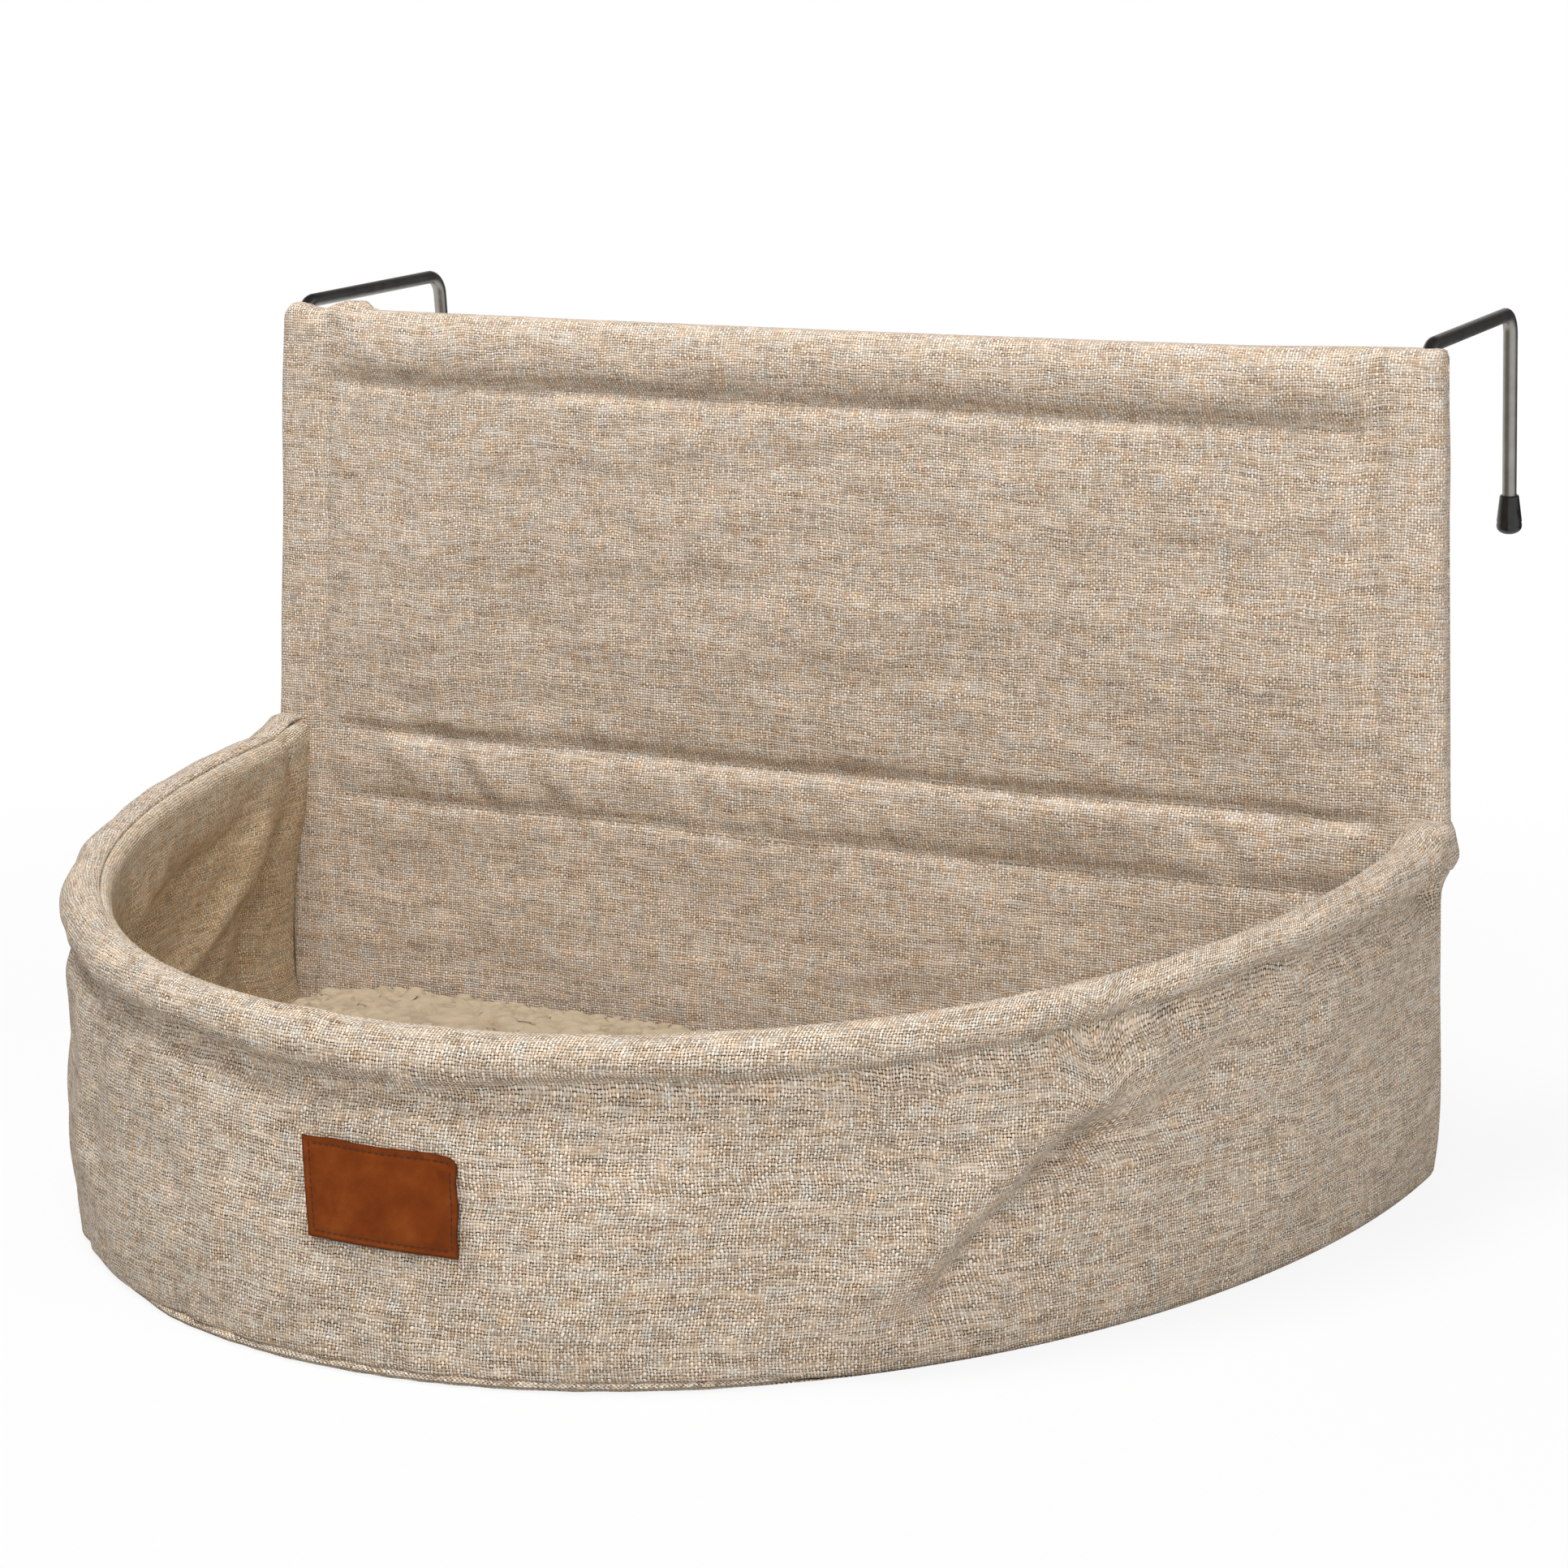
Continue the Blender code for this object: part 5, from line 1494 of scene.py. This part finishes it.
def make_wire(side, name, zinc, points):
    """One bent wire, from inside the backrest to inside its cap."""
    curve = bpy.data.curves.new("hook_wire_" + name, "CURVE")
    curve.dimensions = "3D"
    curve.bevel_depth = wire_radius
    curve.bevel_resolution = 8
    curve.use_fill_caps = True
    spline = curve.splines.new("POLY")
    spline.points.add(len(points) - 1)
    for spline_point, point in zip(spline.points, points):
        spline_point.co = (point.x + side * upright_half_spacing, point.y, point.z, 1.0)
    spline.use_smooth = True
    curve.materials.append(zinc)
    wire = link_object("hook_wire_" + name, curve)
    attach(wire, "bed")
    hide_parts("hanger_rod_" + name)


def cap_profile():
    """Radius and height along a cap: its round end, a fine groove, its taper and its mouth."""
    round_share, groove_share, taper_share = 0.20, 0.30, 0.68
    groove_depth, groove_half_width, groove_edge = 0.00016, 0.00015, 0.0005
    worn_share = 0.995
    lip, lip_edge, lip_drop = 0.0001, 0.0002, 0.0006
    bore_gap, bore_depth = 0.0001, 0.002
    round_stops = 12
    bore_radius = wire_radius + bore_gap
    rounding = [(cap_radius * math.sin(turn), cap_length * round_share * (1 - math.cos(turn)))
                for turn in np.linspace(0.0, math.pi / 2, round_stops)]
    groove = cap_length * groove_share
    return np.array(rounding + [
        (cap_radius, groove - groove_edge),
        (cap_radius - groove_depth, groove - groove_half_width),
        (cap_radius - groove_depth, groove + groove_half_width),
        (cap_radius * worn_share, groove + groove_edge),
        (mix(cap_radius, cap_mouth_radius, 0.5), cap_length * taper_share),
        (cap_mouth_radius + lip, cap_length - lip_drop),
        (cap_mouth_radius, cap_length - lip_edge),
        (cap_mouth_radius - lip_edge, cap_length),
        (bore_radius, cap_length),
        (bore_radius, cap_length - bore_depth),
        (0.0, cap_length - bore_depth)])


def make_hook(side, name, zinc, rubber):
    """One bent wire with its push-on cap."""
    steps = 40
    points, hook_end, lean = hook_points()
    make_wire(side, name, zinc, points)
    radii, heights = cap_profile().T
    turns = np.linspace(0, 2 * math.pi, steps + 1)[:-1]
    ring = np.stack((radii[:, None] * np.cos(turns), radii[:, None] * np.sin(turns),
                     np.repeat(heights[:, None], steps, axis=1)), axis=-1)
    tilt = np.array(((1, 0, 0),
                     (0, math.cos(lean), -math.sin(lean)),
                     (0, math.sin(lean), math.cos(lean))))
    grid = ring @ tilt.T + np.array((side * upright_half_spacing, hook_end.y, hook_end.z))
    uv = np.stack(np.meshgrid(turns * cap_radius, heights), axis=-1)
    cap = grid_object("rubber_cap_" + name, grid, uv, rubber, "bed", wrap=True)
    merge_doubles(cap)
    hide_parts("end_cap_" + name)


# Cushion
def cushion_outline(front_stops=220):
    """Plan of the cushion: a D with rounded rear corners and sides drawn in between them."""
    centre_share = 0.45
    corner_stops, back_stops = 12, 60
    rear = front_plane - cushion_rear_gap
    front, _ = d_outline(cushion_half_width, rim_lead, cushion_reach, rim_fullness,
                         -cushion_rear_gap - cushion_corner_radius, even_stops(front_stops))
    draw = cushion_draw_in * np.sin(2 * math.pi * np.linspace(0, 1, front_stops)) ** 2
    front[:, 0] *= 1 - draw / cushion_half_width
    corner = cushion_half_width - cushion_corner_radius
    centre_y = rear - cushion_corner_radius
    turns = np.linspace(0, math.pi / 2, corner_stops)[1:]
    right = np.column_stack((corner + cushion_corner_radius * np.cos(turns),
                             centre_y + cushion_corner_radius * np.sin(turns)))
    back_share = np.linspace(1, -1, back_stops)[1:-1]
    drawn = rear - cushion_draw_in * np.cos(math.pi / 2 * back_share) ** 2
    back = np.column_stack((corner * back_share, drawn))
    left = right[::-1] * (-1, 1)
    centre = np.array((0.0, front_plane - cushion_reach * centre_share))
    return np.concatenate((front, right, back, left[:-1])), centre


def cushion_body():
    """A closed crowned body on the cushion's plan, smaller than the swollen cushion."""
    scale, crown_share, seam_share = 0.955, 0.72, 0.9
    shares = (1.0, 0.985, 0.94, 0.84, 0.66, 0.4, 0.18)
    edge = 0.001
    under_power, crown_power = 14, 3
    crown = cushion_crown * crown_share
    seam_height = cushion_seam_height * seam_share
    outline, centre = cushion_outline()
    outline = centre + (outline - centre) * scale
    rings = [(share, cushion_seam_level - edge
              - (seam_height - edge) * math.sqrt(1 - share ** under_power))
             for share in reversed(shares)]
    rings += [(share, cushion_seam_level + edge + (crown - edge) * math.sqrt(1 - share ** crown_power))
              for share in shares]
    mesh = bmesh.new()
    rows = [[mesh.verts.new((*(centre + (point - centre) * share), height)) for point in outline]
            for share, height in rings]
    for lower, upper in zip(rows, rows[1:]):
        for i in range(len(lower)):
            k = (i + 1) % len(lower)
            mesh.faces.new((lower[i], lower[k], upper[k], upper[i]))
    for row, level in ((rows[0], cushion_seam_level - seam_height),
                       (rows[-1], cushion_seam_level + crown)):
        hub = mesh.verts.new((*centre, level))
        for i in range(len(row)):
            mesh.faces.new((row[i], row[(i + 1) % len(row)], hub))
    bmesh.ops.recalc_face_normals(mesh, faces=mesh.faces)
    data = bpy.data.meshes.new("cushion_pad")
    mesh.to_mesh(data)
    mesh.free()
    return link_object("cushion_pad", data)


def vertex_values(obj, kind="co"):
    values = np.empty(len(obj.data.vertices) * 3)
    obj.data.vertices.foreach_get(kind, values)
    return values.reshape(-1, 3)


def set_places(obj, places):
    obj.data.vertices.foreach_set("co", places.ravel())
    obj.data.update()


def apply_modifiers(obj):
    graph = bpy.context.evaluated_depsgraph_get()
    mesh = bpy.data.meshes.new_from_object(obj.evaluated_get(graph))
    obj.modifiers.clear()
    obj.data = mesh


def inflate(obj):
    """Let the cover swell over its filling, less at its rear edge than in its middle."""
    edge_cap, middle_cap, cap_band = 0.0025, 0.009, (0.015, 0.100)
    frames = 20
    start = vertex_values(obj)
    cap = mix(edge_cap, middle_cap, smooth_step(front_plane - start[:, 1], *cap_band))
    cloth = obj.modifiers.new("swell", "CLOTH")
    settings = cloth.settings
    settings.use_pressure = True
    settings.uniform_pressure_force = 4.0
    settings.quality = 6
    settings.tension_stiffness = 8
    settings.compression_stiffness = 8
    settings.bending_stiffness = 1.2
    settings.effector_weights.gravity = 0.0
    cloth.collision_settings.use_collision = False
    for number in range(1, frames + 1):
        bpy.context.scene.frame_set(number)
    apply_modifiers(obj)
    bpy.context.scene.frame_set(1)
    moved = vertex_values(obj) - start
    reach = np.linalg.norm(moved, axis=1)
    moved *= np.minimum(1.0, cap / np.maximum(reach, tiny))[:, None]
    set_places(obj, start + moved)


def keep_in_plan(places, share_limit):
    """Draw points that lie too far out back to the cushion's plan."""
    outline, centre = cushion_outline(front_stops=400)
    from_centre = outline - centre
    order = np.argsort(np.arctan2(from_centre[:, 1], from_centre[:, 0]))
    angles = np.arctan2(from_centre[order, 1], from_centre[order, 0])
    radii = np.hypot(from_centre[order, 0], from_centre[order, 1])
    here = places[:, :2] - centre
    allowed = np.interp(np.arctan2(here[:, 1], here[:, 0]), angles, radii, period=2 * math.pi)
    radius = np.hypot(here[:, 0], here[:, 1])
    shrink = np.minimum(1.0, allowed * share_limit / np.maximum(radius, tiny))
    places[:, :2] = centre + here * shrink[:, None]
    return places


def add_curls(obj):
    """Raise the plush into small curls and note how high each place stands."""
    seed = 7
    spacing, curl_width = 0.0060, 0.95
    smallest, largest, lean = 0.65, 1.25, 0.0008
    curl_height, pile_depth = 0.0034, 0.0018
    seam_margin, fade_start, fade_stop = 0.0005, 0.0002, 0.004

    places = vertex_values(obj)
    rng = np.random.default_rng(seed)
    chosen = np.flatnonzero(places[:, 2] > cushion_seam_level + seam_margin)
    cells = {}
    for index in rng.permutation(chosen):
        cells.setdefault(tuple(np.floor(places[index] / spacing).astype(int)), index)
    centres = places[list(cells.values())]
    tree = kdtree.KDTree(len(centres))
    for number, centre in enumerate(centres):
        tree.insert(centre, number)
    tree.balance()
    sizes = rng.uniform(smallest, largest, len(centres))
    leans = rng.normal(0, lean, (len(centres), 3))
    curl = np.zeros(len(places))
    shift = np.zeros_like(places)
    for index in chosen:
        _, number, distance = tree.find(places[index])
        share = max(0.0, 1 - (distance / (spacing * curl_width)) ** 2)
        curl[index] = math.sqrt(share) * sizes[number]
        shift[index] = leans[number] * share
    raised = vertex_values(obj, "normal") * (curl * curl_height - pile_depth)[:, None] + shift
    fade = smooth_step(places[:, 2], cushion_seam_level + fade_start, cushion_seam_level + fade_stop)
    set_places(obj, places + raised * fade[:, None])
    attribute = obj.data.attributes.new("curl", "FLOAT", "POINT")
    attribute.data.foreach_set("value", np.clip(curl, 0, 1).astype(np.float32))


def make_cushion(plush, cotton):
    """The loose cushion: swollen by its filling, curled plush above and plain cloth below."""
    voxel = 0.005
    levels = 2
    plan_share, plush_plan_share = 0.985, 0.995
    seam_fade, crown_margin, cotton_margin = 0.01, 0.002, 0.0008
    lowest = floor_level + seat_gap

    pad = cushion_body()
    remesh = pad.modifiers.new("even", "REMESH")
    remesh.mode = "VOXEL"
    remesh.voxel_size = voxel
    apply_modifiers(pad)
    inflate(pad)
    subdivision = pad.modifiers.new("round", "SUBSURF")
    subdivision.levels = levels
    subdivision.render_levels = levels
    apply_modifiers(pad)
    places = keep_in_plan(vertex_values(pad), plan_share)
    top = smooth_step(places[:, 2], cushion_seam_level, cushion_seam_level + seam_fade)
    places[:, 2] += ripple(places[:, :2], cushion_ripple) * top
    highest = cushion_seam_level + cushion_crown + crown_margin
    places[:, 2] = np.minimum(np.maximum(places[:, 2], lowest), highest)
    set_places(pad, places)
    add_curls(pad)
    places = keep_in_plan(vertex_values(pad), plush_plan_share)
    places[:, 2] = np.maximum(places[:, 2], lowest)
    set_places(pad, places)
    pad.data.shade_smooth()
    pad.data.materials.clear()
    pad.data.materials.append(plush)
    pad.data.materials.append(cotton)
    for face in pad.data.polygons:
        face.material_index = int(face.center.z < cushion_seam_level - cotton_margin)
    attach(pad, "cushion")
    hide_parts("cushion_cover_top", "cushion_cover_bottom", "cushion_filling")


# Studio
def make_floor_plate():
    """Pale floor: a little of its shading shows near the bed, and further off it is plain white."""
    near, far, near_share = 0.35, 0.8, 0.88
    behind_start, behind_stop = 0.35, 0.75
    right_start, right_stop = -0.35, 0.0
    s = Shading("studio_floor", *plain_looks["studio_floor"])
    straight, mirrored = s.rays()
    distance = s.vector("LENGTH", s.coordinates())
    share = s.calc("MULTIPLY", straight, s.remap(distance, near, far, near_share, 1.0))
    x, y, _ = s.split(s.coordinates())
    dim = s.calc("MULTIPLY", s.remap(y, behind_start, behind_stop), s.remap(x, right_start, right_stop))
    dim = s.calc("MULTIPLY", dim, mirrored)
    glow = s.add("ShaderNodeEmission", Color=(*white, 1.0),
                 Strength=s.calc("MULTIPLY_ADD", dim, -mirror_dimming, 1.0))
    output = s.tree.nodes["Material Output"]
    s.feed(output.inputs[0], s.shown(share, s.shader.outputs[0], glow.outputs[0]))
    mesh = bpy.data.meshes.new("studio_floor")
    corners = [(x * floor_half_size, y * floor_half_size, 0)
               for x, y in ((-1, -1), (1, -1), (1, 1), (-1, 1))]
    mesh.from_pydata(corners, [], [(0, 1, 2, 3)])
    mesh.materials.append(s.material)
    floor = link_object("studio_floor", mesh)
    floor.location = floor_place


def make_world():
    """Even light, behind a white backdrop that only the camera, mirrors and glass see."""
    behind_start, behind_stop = 0.35, 0.65
    right_start, right_stop = -0.25, 0.05
    above_start, above_stop = 0.34, 0.48
    world = bpy.data.worlds.new("studio")
    world.use_nodes = True
    s = Nodes(world.node_tree)
    background = s.tree.nodes["Background"]
    background.inputs[0].default_value = (*ambient_colour, 1.0)
    background.inputs[1].default_value = ambient_strength

    # Metal sees the white backdrop up to its top edge, and a dim room above it and behind the bed
    straight, mirrored = s.rays()
    x, y, z = s.split(s.coordinates("Generated"))
    behind = s.calc("MULTIPLY", s.remap(y, behind_start, behind_stop), s.remap(x, right_start, right_stop))
    dim = s.calc("MAXIMUM", behind, s.remap(z, above_start, above_stop))
    dim = s.calc("MULTIPLY", dim, mirrored)
    backdrop = s.add("ShaderNodeBackground", Color=(*white, 1.0),
                     Strength=s.calc("MULTIPLY_ADD", dim, -mirror_dimming, 1.0))
    shown = s.shown(straight, background.outputs[0], backdrop.outputs[0])
    s.feed(s.tree.nodes["World Output"].inputs[0], shown)
    bpy.context.scene.world = world


def aim(obj, place, direction):
    obj.location = place
    obj.rotation_euler = Vector(direction).to_track_quat("-Z", "Y").to_euler()


def make_lamps():
    for name, place, size, power, colour in lamps:
        light = bpy.data.lights.new(name, "AREA")
        light.shape = "DISK"
        light.size = size
        light.energy = power
        light.color = colour
        obj = link_object(name, light)
        aim(obj, place, Vector(bed_middle) - Vector(place))
        obj.visible_glossy = False


def make_camera():
    data = bpy.data.cameras.new("camera")
    data.lens = lens_length
    data.sensor_width = sensor_width
    data.clip_start = near_limit
    camera = link_object("camera", data)
    aim(camera, camera_place, camera_forward)
    bpy.context.scene.camera = camera


def dress_node(name, material):
    """Give a solid that scene.py keeps its dressed material."""
    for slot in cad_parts[name].material_slots:
        slot.material = material


make_camera()
linen = linen_material("linen", linen_tint)
back_linen = linen_material("linen_backrest", backrest_lit_tint, openness=0.68, contrast=0.85)
lining_linen = linen_material("linen_lining", lining_shaded_tint, openness=0.65, contrast=0.75,
                              painted_shade_tint=lining_painted_shade_tint)
zinc = wire_material()
rubber = rubber_material()
leather = leather_material()
plush = plush_material()
cotton = cotton_material()
board = board_material()
thread = thread_material("linen_thread", thread_colour)
dark_thread = thread_material("patch_thread", patch_thread_colour)

make_backrest(back_linen, thread)
make_wall(linen, thread)
make_lining(lining_linen)
make_floor(linen)
make_welt(linen)
make_label(leather, dark_thread)
for side, name in ((-1, "left"), (1, "right")):
    make_hook(side, name, zinc, rubber)
make_cushion(plush, cotton)
for name in ("top_cross_rod", "rim_cross_rod", "base_cross_rod", "rim_hoop", "hoop_socket_left",
             "hoop_socket_right"):
    dress_node(name, zinc)
dress_node("base_board", board)
make_floor_plate()
make_world()
make_lamps()

bpy.context.scene.view_settings.view_transform = "Standard"
